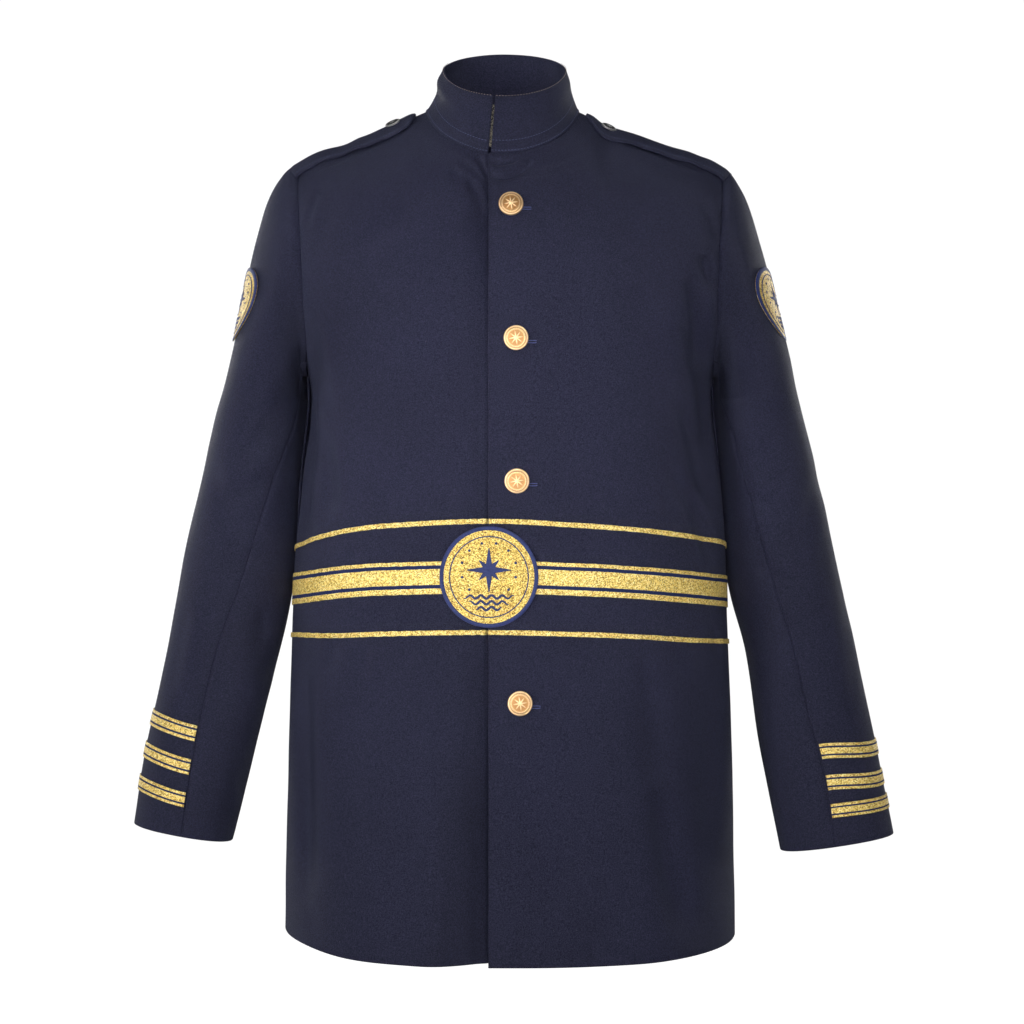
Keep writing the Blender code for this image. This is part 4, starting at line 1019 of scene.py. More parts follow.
def clearOfBody(points, course):
    # at the sleeves, x stays outside the body's oval at the same height, by a soft maximum
    level = np.interp(points[..., 2], bodyCut["side"], np.arange(len(bodyCut["side"])))
    row = bodyAt(level)
    depth = np.where(points[..., 1] < 0, row["ahead"], row["behind"])
    rest = 1 - np.clip(np.abs(points[..., 1] / depth), 0, 1) ** row["square"]
    limit = row["half"] * rest ** (1 / row["square"]) + sleeveTuck["gap"]
    soft = sleeveTuck["soft"]
    over = np.clip((points[..., 0] - limit) / soft, -40, 40)
    clear = np.where(over > 30, points[..., 0], limit + soft * np.log1p(np.exp(over)))
    share = ease(course, *sleeveTuck["fullFrom"])
    return np.stack([points[..., 0] * (1 - share) + clear * share, points[..., 1], points[..., 2]], -1)


def alongEdge(turn, edgeTurn, values):
    return sampled(values, edgeTurn, (turn + pi / 2) % (2 * pi) - pi / 2)


class Sleeve:
    # turn runs round from the front, course from 0 at the armhole through 1 at the upper arm

    def __init__(self, side):
        self.side, self.flip = side, np.array([sides[side], 1.0, 1.0])
        self.at = splineOf(sleeveCut[side])
        self.count = len(sleeveCut[side]["x"])
        self.pull = capPull[side]
        self.edgeTurn, self.edge, self.edgeNormal = armholeEdge(sides[side])
        course = np.linspace(0, self.count, 260)
        self.seams = [self.point(seam(course), course) for seam in (self.frontSeam, self.hindSeam)]

    def armPoint(self, turn, place):
        row = self.at(place)
        reach = ovalReach(turn, row["half"], row["depth"], sleeveForm["square"])
        across, tilt = reach * np.sin(turn), np.radians(row["tilt"])
        x, z = row["x"] + across * np.cos(tilt), row["z"] + across * np.sin(tilt)
        return np.stack([x, row["y"] - reach * np.cos(turn), z], -1)

    def capPoint(self, turn, share):
        # a cubic from the armhole's edge out over the shoulder and down to the upper arm
        start = alongEdge(turn, self.edgeTurn, self.edge)
        end = self.armPoint(turn, np.zeros(turn.shape))
        length = np.linalg.norm(end - start, axis=-1, keepdims=True)
        inside = np.maximum(-np.sin(turn), 0)
        rise = sleeveForm["topRise"] * (np.sin(turn) - 1) + sleeveForm["underRise"] * inside**2
        leaving = unit(np.stack([np.ones(turn.shape), -sleeveForm["spread"] * np.cos(turn), rise], -1))
        leaving = leaving * length * self.pull[0]
        arriving = unit(self.armPoint(turn, np.full(turn.shape, 0.1)) - end) * length * self.pull[1]
        share = share[..., None]
        rest = 1 - share
        fromStart = rest**2 * ((1 + 2 * share) * start + share * leaving)
        return fromStart + share**2 * ((3 - 2 * share) * end - rest * arriving)

    def point(self, turn, course):
        turn, course = np.broadcast_arrays(turn, course)
        cap = self.capPoint(turn, np.minimum(course, 1.0))
        arm = self.armPoint(turn, np.maximum(course - 1, 0))
        return np.where(course[..., None] < 1, cap, arm)

    def frontSeam(self, course):
        row = self.at(np.maximum(course - 1, 0))
        share = np.clip(row["seam"], -0.999, 0.999)
        lower = ovalAngle(share * row["half"], row["half"], row["depth"], sleeveForm["square"])
        blend = ease(course, 0, 1)
        return between(radians(sleeveForm["frontSeam"]), lower, blend)

    def hindSeam(self, course):
        return np.radians(np.interp(course, (0, 1, self.count), sleeveForm["hindSeam"]))

    def out(self, base, normal, course):
        # creases of the face that shows, soft waves, and dips along the two seams
        placedBase = base * self.flip
        front = ease(-normal[..., 1], -0.25, 0.25)
        creases = sleeveCreases[self.side]
        fade = ease(course, 0.0, 0.5)
        dips = creaseDip(placedBase, creases["front"]) * front
        dips = dips + creaseDip(placedBase, creases["back"]) * (1 - front)
        depth, width = sleeveHead["seam"]
        seams = -depth * sum(bell(distanceTo(base, path), width) for path in self.seams)
        fromEdge = distanceTo(base, self.edge)
        middle, width, *heights = sleeveHead["strap"]
        nearStrap = np.exp(-(((base[..., 1] - middle) / width) ** 4)) * ease(base[..., 2], *heights)
        depth, width, less = sleeveHead["dip"]
        head = -depth * bell(fromEdge, width) * (1 - less * nearStrap)
        height, away, width = sleeveHead["roll"]
        roll = height * bell(fromEdge - away, width)
        height, *places = sleeveHead["rise"]
        overStrap = nearStrap * height * ease(fromEdge, *places[:2]) * (1 - ease(fromEdge, *places[2:]))
        return dips * fade + seams + head + roll + overStrap + sleeveHead["waves"] * softWaves(placedBase)

    def cloth(self, turn, course, lift=0.0):
        turn, course = np.broadcast_arrays(turn, course)
        own = -normalOf(self.point, turn, np.maximum(course, 4e-4))
        body = alongEdge(turn, self.edgeTurn, self.edgeNormal)
        blend = ease(course, 0, 0.35)[..., None]
        normal = unit(body * (1 - blend) + own * blend)
        base = self.point(turn, course)
        out = self.out(base, normal, course) + self.tuck(turn, course) + lift
        moved = clearOfBody(base + normal * out[..., None], course) * self.flip
        return settled(moved), normal * self.flip

    def tuck(self, turn, course):
        # the cloth behind the arm's inner side swells against the back
        wrapped = (turn - radians(sleeveTuck["turn"]) + pi) % (2 * pi) - pi
        fade = ease(course, *sleeveTuck["begins"]) * (1 - ease(course, *sleeveTuck["ends"]))
        return sleeveTuck["height"] * bell(wrapped, radians(sleeveTuck["spread"])) * fade

    def courseAt(self, rise):
        # the course where the sleeve's middle lies that far up its slope from the cuff
        place = np.linspace(0, self.count - 1, 400)
        row = self.at(place)
        steps = np.linalg.norm(np.diff(np.stack([row["x"], row["y"], row["z"]], -1), axis=0), axis=-1)
        length = np.concatenate([np.cumsum(steps[::-1])[::-1], [0.0]])
        return 1 + np.interp(rise, length[::-1], place[::-1])


def makeSleeves():
    cap = np.linspace(0, 1, sleeveForm["rowsCap"] + 1) ** sleeveForm["capCloser"]
    pieces = {}
    for side in sides:
        sleeve = Sleeve(side)
        arm = np.linspace(1, sleeve.count, sleeveForm["rowsArm"] + 1)
        course = np.concatenate([cap, arm[1:]])[:, None]
        front, hind = sleeve.frontSeam(course), sleeve.hindSeam(course)
        for part, start, end in (("top", front, hind), ("under", hind, front + 2 * pi)):
            turn = between(start, end, np.linspace(0, 1, sleeveForm[part] + 1))
            outer, normal = sleeve.cloth(turn, course)
            name = f"sleeve_{side}_{part}_cloth"
            shell = clothShell(name, outer, normal, cloth["thickness"], cloth["seamRadius"], lengthUv(outer))
            pieces[side, part] = finish(shell, "twill", "navy_twill", f"sleeve_{side}_{part}")
        pieces[side] = sleeve
    return pieces


sleevePieces = makeSleeves()
print("sleeves ready")

# Waist braid: the height of its middle at the centre front, the sides and the centre back

waistBraid = {
    "upper": {"front": -0.4055, "side": -0.430, "back": -0.412, "width": 0.0047, "rows": 7, "look": "lurex"},
    "middle": {"front": -0.459, "side": -0.473, "back": -0.462, "width": 0.031, "rows": 13, "look": "braid"},
    "lower": {"front": -0.5117, "side": -0.523, "back": -0.515, "width": 0.0047, "rows": 7, "look": "lurex"},
}
# How much lower, in mm, each runs on the fronts than a straight slope, at the listed x
braidSag = {
    "x": (-0.206, -0.198, -0.180, -0.160, -0.130, -0.090, -0.020, 0.048, 0.090, 0.130, 0.170, 0.200),
    "upper": (4.0, 2.7, 0.4, -1.8, -2.9, -1.8, 0.0, 1.8, 1.2, 0.8, 1.6, 1.8),
    "middle": (1.8, 1.4, 0.0, -1.4, -2.2, -1.5, -0.4, 0.8, 0.8, 1.5, 2.9, 4.2),
    "lower": (-3.2, -2.6, -1.6, -1.2, -1.7, -1.4, -0.4, 0.5, 0.5, 1.2, 2.9, 3.3),
}
ribbon = {
    "lift": 0.0004, "thickness": 0.0009, "radius": 0.0003, "gap": 0.0004,
    "waver": 0.00010, "wavers": ((483.0, 0.0), (1071.0, 1.2)),
}


def sagAt(label, angle, ahead):
    # read along the fronts, and faded out round the back
    if ahead:
        x = bodyPoint(angle, np.full(np.shape(angle), 2.2))[..., 0]
        return np.interp(x, braidSag["x"], braidSag[label]) / 1000
    ends = np.where(np.sin(angle) > 0, braidSag[label][-1], braidSag[label][0])
    return ends * np.sin(angle) ** 4 / 1000


def levelAt(angle, height):
    # the level at which the body is that high, by halving
    low, high = np.zeros(angle.shape), np.full(angle.shape, shoulderLevel)
    return halving(low, high, lambda level: bodyPoint(angle, level)[..., 2] < height)


def makeWaistBraids():
    # start, end, whether it lies on a front, where the start is an x, and columns of points
    panels = {
        "front_left": (placket["edge"] + ribbon["gap"], pi / 2, True, 150),
        "front_right": (placket["edge"] - ribbon["gap"], -pi / 2, True, 130),
        "back": (pi / 2, 3 * pi / 2, False, 200),
    }
    thickness, pieces = ribbon["thickness"], []
    for label, braid in waistBraid.items():
        rows = braid["rows"]
        for panel, (start, end, ahead, columns) in panels.items():
            if ahead:
                start = float(frontAngle(start, 2.5))
            angle = np.broadcast_to(np.linspace(start, end, columns), (rows, columns))
            centre = between(braid["side"], braid["front" if ahead else "back"], np.abs(np.cos(angle)))
            centre = centre - sagAt(label, angle, ahead)
            share = np.linspace(-0.5, 0.5, rows)[:, None]
            waver = sum(np.sin(angle * pitch + phase) for pitch, phase in ribbon["wavers"])
            height = centre + share * (braid["width"] + 2 * ribbon["waver"] * waver)
            level = levelAt(angle, height)
            outer, normal = bodyCloth(angle, level, panel.split("_")[-1], ribbon["lift"] + thickness)
            name = f"braid_{label}_{panel}"
            length = np.linalg.norm(np.diff(outer[rows // 2], axis=0), axis=-1).sum()
            uv = shareUv(rows, columns, length)
            shell = clothShell(name + "_ribbon", outer, normal, thickness, ribbon["radius"], uv)
            pieces.append(finish(shell, braid["look"], "gold_braid", name))
    return pieces


braidPieces = makeWaistBraids()

# Cuff stripes: how far each lower edge lies above the cuff

cuffStripes = {
    "left": {
        "inner": (0.0287, 0.0562, 0.0873), "outer": (0.0260, 0.0495, 0.0792),
        "width": (0.0136, 0.0148, 0.0152),
    },
    "right": {
        "inner": (0.0290, 0.0610, 0.0943), "outer": (0.0338, 0.0661, 0.0985),
        "width": (0.0145, 0.0152, 0.0157),
    },
    "margin": 0.010, "bend": 0.4, "rows": 13, "columns": 110, "length": 0.16,
}


def makeCuffStripes():
    # each stripe rises from the cuff by one amount at its inner end and another farther round
    rows, columns = cuffStripes["rows"], cuffStripes["columns"]
    share = np.linspace(cuffStripes["margin"], 1 - cuffStripes["margin"], columns)
    for side in sides:
        sleeve = sleevePieces[side]
        for number, (inner, outerRise, width) in enumerate(zip(*cuffStripes[side].values()), start=1):
            rise = between(inner, outerRise, ease(share, 0, cuffStripes["bend"]))
            course = sleeve.courseAt(rise + width * np.linspace(0, 1, rows)[:, None])
            turn = between(sleeve.frontSeam(course), sleeve.hindSeam(course), share)
            outer, normal = sleeve.cloth(turn, course, ribbon["lift"] + ribbon["thickness"])
            name = f"cuff_stripe_{side}_{number}"
            uv = shareUv(rows, columns, cuffStripes["length"])
            shell = clothShell(name + "_ribbon", outer, normal, ribbon["thickness"], ribbon["radius"], uv)
            finish(shell, "stripe", "gold_braid", name)


makeCuffStripes()
print("braid and stripes ready")

# Badges: an oval of metal thread with a raised border, a compass star, dots and waves


def onFront(x, z, lift):
    # the place on the fronts at a given x and z, found by Newton's steps
    level = np.full(np.shape(x), 2.0)
    for _ in range(24):
        angle = frontAngle(x, level)
        height = bodyPoint(angle, level)[..., 2]
        slope = (bodyPoint(angle, level + 1e-3)[..., 2] - height) / 1e-3
        level = np.clip(level + 0.7 * (z - height) / np.maximum(slope, 0.02), 0, neckLevel)
    point, normal = bodyPoint(frontAngle(x, level), level), bodyNormal(frontAngle(x, level), level)
    return point + normal * np.asarray(lift)[..., None]


def waistPlace(across, up, lift):
    return onFront(waistBadge["x"] + across, waistBadge["z"] + up, lift)


def sleevePlace(sleeve):
    def place(across, up, lift):
        turn = radians(sleeveBadge["turns"][sleeve.side]) + across / sleeveBadge["radius"]
        low, high = np.zeros(np.shape(turn)), np.full(np.shape(turn), 2.0)
        height = sleeveBadge["z"] + up
        course = halving(low, high, lambda course: sleeve.point(turn, course)[..., 2] > height)
        normal = -normalOf(sleeve.point, turn, course)
        return (sleeve.point(turn, course) + normal * np.asarray(lift)[..., None]) * sleeve.flip

    return place


waistBadge = {
    "x": -0.0198, "z": -0.4587, "half": (0.0465, 0.0480), "lift": 0.0017, "thickness": 0.0014, "size": 1.0,
}
sleeveBadge = {
    "z": -0.192, "half": (0.0345, 0.0360), "radius": 0.054, "turns": {"left": 58.6, "right": 64.0},
    "lift": 0.0007, "thickness": 0.0010, "size": 0.75,
}


def ringedFaces(count, around):
    # faces of a closed form: rings out from the top's middle round to the foot's, then both middles
    ring = np.arange(count * around).reshape(count, around)
    after = np.roll(ring, -1, 1)
    faces = np.stack([after[:-1], after[1:], ring[1:], ring[:-1]], -1).reshape(-1, 4).tolist()
    top, foot = np.full(around, count * around), np.full(around, count * around + 1)
    faces += np.stack([top, after[0], ring[0]], -1).tolist()
    return faces + np.stack([foot, ring[-1], after[-1]], -1).tolist()


def ringed(radius, height, around, turned=0.0):
    # rings of points, clockwise as seen from above, from one radius and height each
    turn = np.arange(around) * 2 * pi / around + turned
    radius, height = np.asarray(radius, float)[:, None], np.asarray(height, float)[:, None]
    return np.stack([radius * np.sin(turn), radius * np.cos(turn), height + 0 * turn], -1)


def ovalField(half, lift, thickness, rings=16, around=96):
    # the badge's flat field: rings out over its top to the rim, and back in underneath
    share = np.linspace(0, 1, rings + 1)[1:]
    points = ringed(np.concatenate([share, share[::-1]]), np.repeat([lift + thickness, lift], rings), around)
    points = np.concatenate([points.reshape(-1, 3), [[0, 0, lift + thickness], [0, 0, lift]]])
    return points * np.array([*half, 1.0]), ringedFaces(2 * rings, around)


def raisedLine(path, half, height, lift, closed=False, steps=6):
    # a rounded ridge along a path on the badge: half an oval across, closed underneath
    half = np.broadcast_to(half, len(path))
    ahead = np.roll(path, -1, 0) - np.roll(path, 1, 0) if closed else np.gradient(path, axis=0)
    ahead = unit(ahead)
    square = np.stack([-ahead[:, 1], ahead[:, 0]], -1)
    turn = np.linspace(0, pi, steps + 1)
    places = path[:, None] + square[:, None] * (half[:, None] * np.cos(turn))[..., None]
    high = lift + height * (half / half.max())[:, None] ** 0.5 * np.sin(turn)
    points = np.concatenate([places, high[..., None]], -1)
    index = np.arange(high.size).reshape(high.shape)
    after = np.roll(index, -1, 0) if closed else index[1:]
    first = index if closed else index[:-1]
    faces = np.stack([first, np.roll(first, -1, 1), np.roll(after, -1, 1), after], -1).reshape(-1, 4).tolist()
    if not closed:
        faces += [index[0][::-1].tolist(), index[-1].tolist()]
    return points.reshape(-1, 3), faces


def star(centre, reach, half, height, lift, arms=8):
    # long and short arms by turns, each a ridge from a broad foot to a point
    parts = []
    for k in range(arms):
        turn = k * 2 * pi / arms
        length = reach * (1.0 if k % 2 == 0 else 0.62)
        t = np.linspace(0.0, 1, 9)
        path = centre + np.outer(t * length, [np.sin(turn), np.cos(turn)])
        parts.append(raisedLine(path, half * (1 - 0.88 * t), height, lift))
    return parts


def dot(centre, radius, height, lift, around=10):
    # a low dome on a flat foot
    rings = ringed(radius * np.array([0.5, 0.86, 1.0]), lift + height * np.array([0.86, 0.5, 0.0]), around)
    points = np.concatenate([rings.reshape(-1, 3), [[0, 0, lift + height], [0, 0, lift]]])
    return points + np.array([*centre, 0.0]), ringedFaces(3, around)


badgeMotifs = {
    "border": (0.0017, 0.0020, 0.0007), "ring": (0.80, 0.0006, 0.0006), "sunk": 0.0001, "rise": 0.0065,
    "star": (0.0210, 0.0040, 0.0009), "dots": (12, 0.0262, 0.0014, 0.0007), "dotsAbove": -0.0125,
    "waves": ((-0.0190, 0.0240), (-0.0245, 0.0190), (-0.0300, 0.0120)),
    "wave": (0.0016, 620.0, 0.0013, 0.0006),
}


def makeBadge(name, place, badge, replaced):
    # every part is laid out flat, then taken to its place on the cloth
    half, size, form = np.array(badge["half"]), badge["size"], badgeMotifs
    foot = badge["lift"] + badge["thickness"] - form["sunk"]
    points, faces = ovalField(half, badge["lift"], badge["thickness"])
    field = meshPiece(name + "_field", place(*points.T), faces, points[:, :2])
    finish(field, "badge", "badges", replaced)
    turn = np.arange(120) * 2 * pi / 120
    rim = half * np.stack([np.sin(turn), np.cos(turn)], -1)
    inset, width, height = form["border"]
    parts = [raisedLine(rim * (1 - inset / half[0]), width, height, foot - form["sunk"], closed=True)]
    share, width, height = form["ring"]
    parts.append(raisedLine(rim * share, width * size**0.5, height, foot, closed=True, steps=4))
    centre = np.array([0.0, form["rise"] * size])
    reach, width, height = form["star"]
    parts += star(centre, reach * size, width * size, height, foot)
    t = np.linspace(-1, 1, 40)
    swing, pitch, thick, height = form["wave"]
    for rise, width in form["waves"]:
        path = np.stack([t * width, rise + swing * np.sin(t * width * pitch)], -1) * size
        parts.append(raisedLine(path, thick * size * (1 - 0.7 * t**4), height, foot, steps=4))
    count, away, radius, height = form["dots"]
    for turn in (np.arange(count) + 0.5) * 2 * pi / count:
        at = centre + away * size * np.array([np.sin(turn), np.cos(turn)])
        if at[1] > form["dotsAbove"] * size:
            parts.append(dot(at, radius * size, height, foot))
    points, faces = joinParts(parts)
    finish(meshPiece(name + "_field_motifs", place(*points.T), faces), "blueThread", "badges")


makeBadge("waist_badge", waistPlace, waistBadge, "waist_badge")
for side in sides:
    makeBadge(f"sleeve_badge_{side}", sleevePlace(sleevePieces[side]), sleeveBadge, f"sleeve_badge_{side}")
print("badges ready")

# Buttons: domed, with a plain rim, a roped ring and a raised star on a pricked ground

frontButton = {
    "places": ((0.0010, -0.1027), (0.0058, -0.2317), (0.0067, -0.3675), (0.0096, -0.5785)),
    "radius": 0.0120, "dome": 0.0030, "skirt": 0.0022, "shank": (0.0034, 0.0012), "lift": 0.0004,
    "rope": (0.0086, 0.0008, 0.00045, 36), "star": (0.0070, 0.00050), "rim": 0.00035, "turn": 0.15,
}
strapButton = {
    "radius": 0.0080, "dome": 0.0015, "skirt": 0.0010, "shank": (0.0020, 0.0005),
    "rope": (0.0064, 0.0008, 0.00050, 20), "star": (0.0046, 0.00040), "rim": 0.00030, "turn": 0.0,
}
buttonRings = (38, 96)  # rings of points over the face, and points round each


def buttonHeight(r, turn, form):
    # a shallow dome with a raised rim, a roped ring, and a star whose arms fall to their ends
    radius = form["radius"]
    ring, ringWidth, ringHeight, strands = form["rope"]
    reach, starHeight = form["star"]
    dome = form["dome"] * np.sqrt(np.maximum(1 - (r / radius) ** 2 * 0.93, 0))
    rim = bell(r - radius * 0.92, radius * 0.06)
    rope = bell(r - ring, ringWidth) * (0.65 + 0.35 * np.cos(strands * turn + 5 * r / ring))
    arm = np.abs(np.cos(4 * turn)) ** 3 * (0.72 + 0.28 * np.cos(4 * turn) ** 2)
    star = np.sqrt(np.clip(1 - r / (reach * (0.35 + 0.65 * arm)), 0, 1))
    boss = 0.0003 * bell(r, 0.0011)
    pricked = 0.00006 * np.sin(r * 5200) * np.sin(turn * 24) * (r > reach * 0.4) * (r < ring)
    height = dome + form["rim"] * rim + ringHeight * rope + starHeight * star + boss + pricked
    return height, rim + rope + 1.4 * star


def makeButton(name, seat, normal, form, material, slot):
    # rings over the domed face, round its edge and in to the shank, then set on its seat
    rings, around = buttonRings
    radius, (shankRadius, shankHeight) = form["radius"], form["shank"]
    base = shankHeight + form["skirt"]
    reach = radius * np.linspace(0, 1, rings + 1)[1:] ** 0.9
    face = ringed(reach, 0 * reach, around)
    turn = np.arange(around) * 2 * pi / around + form["turn"]
    height, relief = buttonHeight(reach[:, None], turn, form)
    face[..., 2] = base + height - height[-1].mean()
    lower = (
        (radius, base - 0.0004), (radius * 0.985, shankHeight + 0.0002), (radius * 0.94, shankHeight),
        (shankRadius, shankHeight), (shankRadius, 0.0),
    )
    rows = np.concatenate([face, ringed(*zip(*lower), around)])
    points = np.concatenate([rows.reshape(-1, 3), [[0, 0, rows[0, :, 2].mean()], [0, 0, 0]]])
    across = unit(np.cross([0, 0, 1.0], normal))
    turned = np.stack([across, np.cross(normal, across), normal])
    piece = meshPiece(name + "_relief", seat + points @ turned, ringedFaces(len(rows), around))
    tint = np.concatenate([np.clip(relief, 0, 1), np.full((len(lower), around), 0.55)])
    attribute = piece.data.attributes.new("relief", "FLOAT", "POINT")
    attribute.data.foreach_set("value", np.concatenate([tint.ravel(), [1.0, 0.5]]).astype(np.float32))
    finish(piece, material, slot, name)


for number, (x, z) in enumerate(frontButton["places"], start=1):
    low, high = onFront(np.array(x), np.array(z), 0.0), onFront(np.array(x), np.array(z), 0.001)
    normal = unit(high - low)
    seat = low + normal * frontButton["lift"]
    makeButton(f"button_{number}", seat, normal, frontButton, "gold", "gold_buttons")
print("front buttons ready")

# Shoulder straps, with their small buttons

strap = {
    "half": (0.0245, 0.020), "from": 6.99, "to": {"left": 9.84, "right": 9.755}, "forward": (0.0035, 0.0125),
    "lift": 0.0018, "thickness": 0.0021, "radius": 0.0008, "bow": 0.0006, "ripple": 0.0010,
    "rows": 100, "columns": 34, "tipFrom": 0.86, "buttonAt": {"left": 0.829, "right": 0.796},
    "sewnIn": 0.03, "reach": (0.002, 0.008), "reachWithin": 0.12, "reachSlope": -0.6, "stitchIn": 0.0042,
}


def strapForward(share):
    return between(*strap["forward"], share)


def strapLevel(flip, share):
    return between(strap["from"], strap["to"]["left" if flip > 0 else "right"], share)


def strapPlace(flip, share, across):
    # share runs from the sleeve to the point, across from -1 to 1 over the strap's width
    level = strapLevel(flip, share)
    past = np.clip((share - strap["tipFrom"]) / (1 - strap["tipFrom"]), 0, 0.985)
    half = between(*strap["half"], share) * (1 - past**1.6)
    offset = half * across - strapForward(share)
    angle = flip * (pi / 2 + np.arctan2(offset, bodyAt(level)["half"]))
    return bodyPoint(angle, level), bodyNormal(angle, level)


def strapSurface(flip, share, across, lift=0.0):
    # the sewn end is slanted: it reaches out over the sleeve, less at the front than at the top
    base, normal = strapPlace(flip, share, across)
    out = between(*strap["reach"], np.clip(across + 1, 0, 1))
    out = out * np.clip(1 - share / strap["reachWithin"], 0, 1) ** 2
    base = base + out[..., None] * np.array([flip, 0, strap["reachSlope"]])
    bow = strap["bow"] * (1 - across**2)
    sewnIn = 0.72 + 0.28 * ease(share, 0.0, strap["sewnIn"])
    ripple = strap["ripple"] * across**2 * np.sin(share * 21 + flip) * np.sin(share * 9 + 2 * flip)
    raised = (strap["lift"] + strap["thickness"] + lift + bow + ripple) * sewnIn
    return settled(base + normal * raised[..., None]), normal


def makeStraps():
    pieces = {}
    for side, flip in sides.items():
        along, over = np.linspace(0, 1, strap["rows"]), np.linspace(-1, 1, strap["columns"])
        outer, normal = strapSurface(flip, *np.meshgrid(along, over, indexing="ij"))
        name, uv = f"epaulette_{side}_strap", lengthUv(outer)
        shell = clothShell(name, outer, normal, strap["thickness"], strap["radius"], uv)
        pieces[side] = finish(shell, "twill", "navy_twill", f"epaulette_{side}")
        at = strap["buttonAt"][side]
        level = np.array(strapLevel(flip, at))
        angle = np.array(flip * (pi / 2 - atan2(strapForward(at), float(bodyAt(level)["half"]))))
        base, normal = bodyPoint(angle, level), bodyNormal(angle, level)
        seat = settled(base + normal * (strap["lift"] + strap["thickness"] + strap["bow"]))
        makeButton(f"epaulette_button_{side}", seat, normal, strapButton, "pewter", "small_buttons")
    return pieces


strapPieces = makeStraps()
print("shoulder straps ready")

# Sewing: small stitches in rows, each a six-sided bead of thread along its path

# spacing, length and radius of each kind of stitch, with its material
stitches = {
    "collar": (0.0032, 0.0022, 0.00026, "stitch"),
    "rim": (0.0030, 0.0016, 0.00026, "rimThread"),
    "strap": (0.0030, 0.0020, 0.00019, "stitch"),
    "buttonhole": (0.0006, 0.0009, 0.00042, "buttonhole"),
}
beadRings = ((-0.5, 0.35), (-0.3, 1.0), (0.3, 1.0), (0.5, 0.35))  # shares of the length and of the radius


def stitchRow(name, path, normal, kind):
    # stitches at even distances along a path of points, each lying along it
    spacing, length, radius, material = stitches[kind]
    steps = np.linalg.norm(np.diff(path, axis=0), axis=-1)
    travelled = np.concatenate([[0.0], np.cumsum(steps)])
    at = np.arange(spacing / 2, travelled[-1] - length / 2, spacing)
    centre = sampled(path, travelled, at)
    up = unit(sampled(normal, travelled, at))
    ahead = sampled(path, travelled, at + 1e-4) - centre
    ahead = unit(ahead - up * (ahead * up).sum(-1, keepdims=True))
    turn = np.arange(6)[:, None] * pi / 3
    rings = []
    for place, size in beadRings:
        sideways = np.cross(up, ahead)[:, None] * (radius * size * np.cos(turn))
        upwards = up[:, None] * (radius * size * np.sin(turn) - 0.5 * (1 - size) * radius)
        rings.append(centre[:, None] + ahead[:, None] * (place * length) + sideways + upwards)
    points = np.stack(rings, 1)
    index = np.arange(len(at) * 24).reshape(len(at), 4, 6)
    around = np.roll(np.arange(6), -1)
    walls = np.stack([index[:, :-1], index[:, :-1][..., around], index[:, 1:][..., around], index[:, 1:]], -1)
    faces = walls.reshape(-1, 4).tolist() + index[:, 0, ::-1].tolist() + index[:, -1].tolist()
    return finish(meshPiece(name, points.reshape(-1, 3), faces), material, "navy_twill")


def collarStitches():
    # two rows round the stand, and a row over each end of its rim
    angle = collarAngles(600)
    height = np.linalg.norm(collarRim(angle) - collarBase(angle), axis=-1)
    pieces = []
    for label, rise in (("lower", 0.0016), ("upper", 0.0122)):
        share = rise / height
        normal = collarNormal(angle, share)
        path = collarPoint(angle, share) + normal * (collarOut(angle, share) + 0.00005)[:, None]
        pieces.append(stitchRow(f"collar_stitches_{label}", path, normal, "collar"))
    share = np.ones(angle.shape)
    normal = collarNormal(angle, share)
    path = collarPoint(angle, share) + normal * 0.0002 + np.array([0, 0, 0.0001])
    for label, part in (("left", angle < 2.0), ("right", angle > 4.3)):
        pieces.append(stitchRow(f"rim_thread_{label}", path[part], normal[part], "rim"))
    return pieces


def strapStitches():
    # along one long side, across the point and back along the other side
    there = np.linspace(0.01, 0.95, 160)
    share = np.concatenate([there, np.full(20, 0.95), there[::-1]])
    for side, flip in sides.items():
        keep = 1 - strap["stitchIn"] / between(*strap["half"], share)
        across = np.concatenate([keep[:160], np.linspace(keep[160], -keep[160], 20), -keep[180:]])
        stitchRow(f"epaulette_{side}_stitches", *strapSurface(flip, share, across, 0.00005), "strap")


buttonhole = {
    "from": 0.0110, "to": 0.0195, "half": 0.0011, "drop": 0.0035,
    "middle": 0.015, "reach": 0.0052, "least": 0.05, "lift": 0.0003,
}


def buttonholes():
    # close stitches square to the slit, on both sides of it and narrowing to its ends
    across = np.linspace(buttonhole["from"], buttonhole["to"], 60)
    ends = 1 - ((across - buttonhole["middle"]) / buttonhole["reach"]) ** 4
    half = buttonhole["half"] * np.sqrt(np.clip(ends, buttonhole["least"], 1))
    for number, (x, z) in enumerate(frontButton["places"], start=1):
        for label, side in (("lower", -1), ("upper", 1)):
            place = (x + across, z - buttonhole["drop"] + side * half)
            path = onFront(*place, np.full(across.shape, buttonhole["lift"]))
            above = onFront(*place, np.full(across.shape, buttonhole["lift"] + 0.001))
            stitchRow(f"buttonhole_{number}_{label}", path, unit(above - path), "buttonhole")


collarThreads = collarStitches()
strapStitches()
buttonholes()
print("sewing ready")
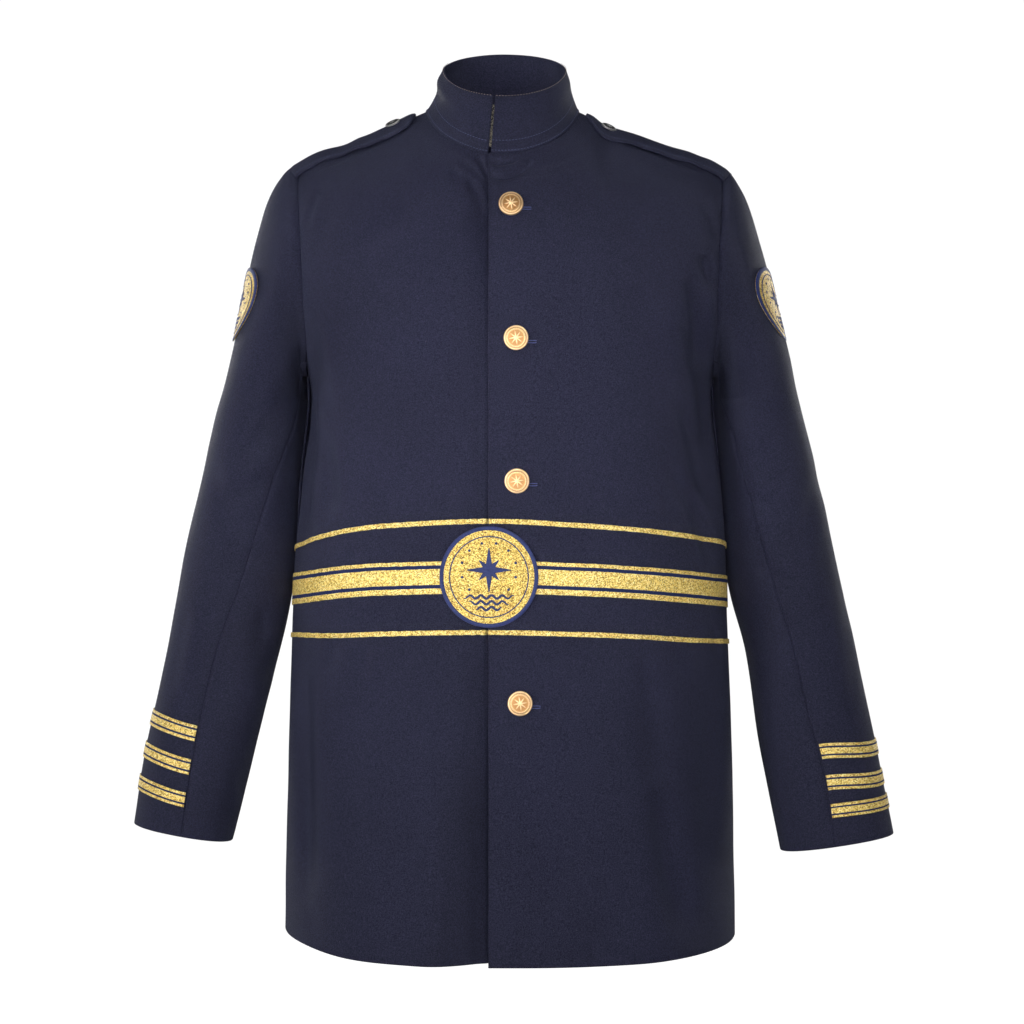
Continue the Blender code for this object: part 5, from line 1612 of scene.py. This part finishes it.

# The floor, the lights and the sky

studio = {
    "floor": -1.45, "floorRadius": 4.0, "floorCorners": 96, "sky": 0.05, "seen": 1.02,
    "lamps": (
        ("front", (0.0, -3.0, -0.30), (0.0, 0.0, -0.30), 0.9, 14.0, 180.0),
        ("front right", (1.03, -2.82, -0.30), (0.0, 0.0, -0.30), 0.9, 8.0, 180.0),
        ("wide chest", (-0.20, -3.0, -0.25), (-0.04, 0.0, -0.34), 0.9, 1.75, 40.0),
        ("chest", (-0.20, -3.0, -0.20), (-0.05, 0.0, -0.30), 0.3, 0.27, 16.0),
        ("left", (-2.12, -2.12, -0.30), (0.0, 0.0, -0.30), 0.9, 39.0, 180.0),
        ("right", (2.12, -2.12, -0.30), (0.0, 0.0, -0.30), 0.9, 10.0, 180.0),
        ("top", (0.0, -0.78, 2.60), (0.0, 0.0, -0.30), 0.9, 11.0, 180.0),
        ("left edge", (-2.60, 1.50, -0.30), (0.0, 0.0, -0.30), 0.9, 9.0, 180.0),
        ("right edge", (2.60, 1.50, -0.30), (0.0, 0.0, -0.30), 0.9, 7.0, 180.0),
        ("rear left", (-1.72, 2.46, 0.20), (0.0, 0.0, -0.35), 1.2, 26.0, 180.0),
        ("rear right", (1.72, 2.46, 0.20), (0.0, 0.0, -0.35), 1.2, 26.0, 180.0),
    ),
}


def makeStudio():
    corners = studio["floorCorners"]
    turn = np.arange(corners) * 2 * pi / corners
    ring = studio["floorRadius"] * np.stack([np.cos(turn), np.sin(turn), 0 * turn], -1)
    ring[:, 2] = studio["floor"]
    floor = meshPiece("floor", ring, [list(range(corners))], smooth=False)
    # white as the camera sees it, and a plain pale grey in the light that it throws back
    material, tree, shader = newMaterial("pale floor", {"Roughness": 0.9, "Emission Strength": 1.0})
    speck = noise(tree, objectCoordinates(tree), 3.0)
    feed(tree, mixRgb(tree, speck, (0.29, 0.29, 0.29), (0.31, 0.31, 0.31)), shader["Base Color"])
    seen = node(tree, "LightPath").outputs["Is Camera Ray"]
    feed(tree, mixRgb(tree, seen, (0, 0, 0), (1, 1, 1)), shader["Emission Color"])
    floor.data.materials.append(material)
    for label, place, aim, size, power, spread in studio["lamps"]:
        lamp = bpy.data.lights.new(label, "AREA")
        lamp.size, lamp.energy, lamp.spread = size, power, radians(spread)
        holder = bpy.data.objects.new(label, lamp)
        bpy.context.scene.collection.objects.link(holder)
        holder.location = place
        away = np.array(place) - np.array(aim)
        holder.rotation_euler = (atan2(np.hypot(*away[:2]), away[2]), 0, atan2(away[0], -away[1]))
    world = bpy.data.worlds.new("sky")
    bpy.context.scene.world = world
    world.use_nodes = True
    background = world.node_tree.nodes["Background"].inputs
    background["Color"].default_value = (1, 1, 1, 1)
    seen = node(world.node_tree, "LightPath").outputs["Is Camera Ray"]
    values = (studio["seen"] - studio["sky"], studio["sky"])
    feed(world.node_tree, maths(world.node_tree, "MULTIPLY_ADD", seen, *values), background["Strength"])
    bpy.context.scene.view_settings.view_transform = "Standard"


makeStudio()
print("studio ready")
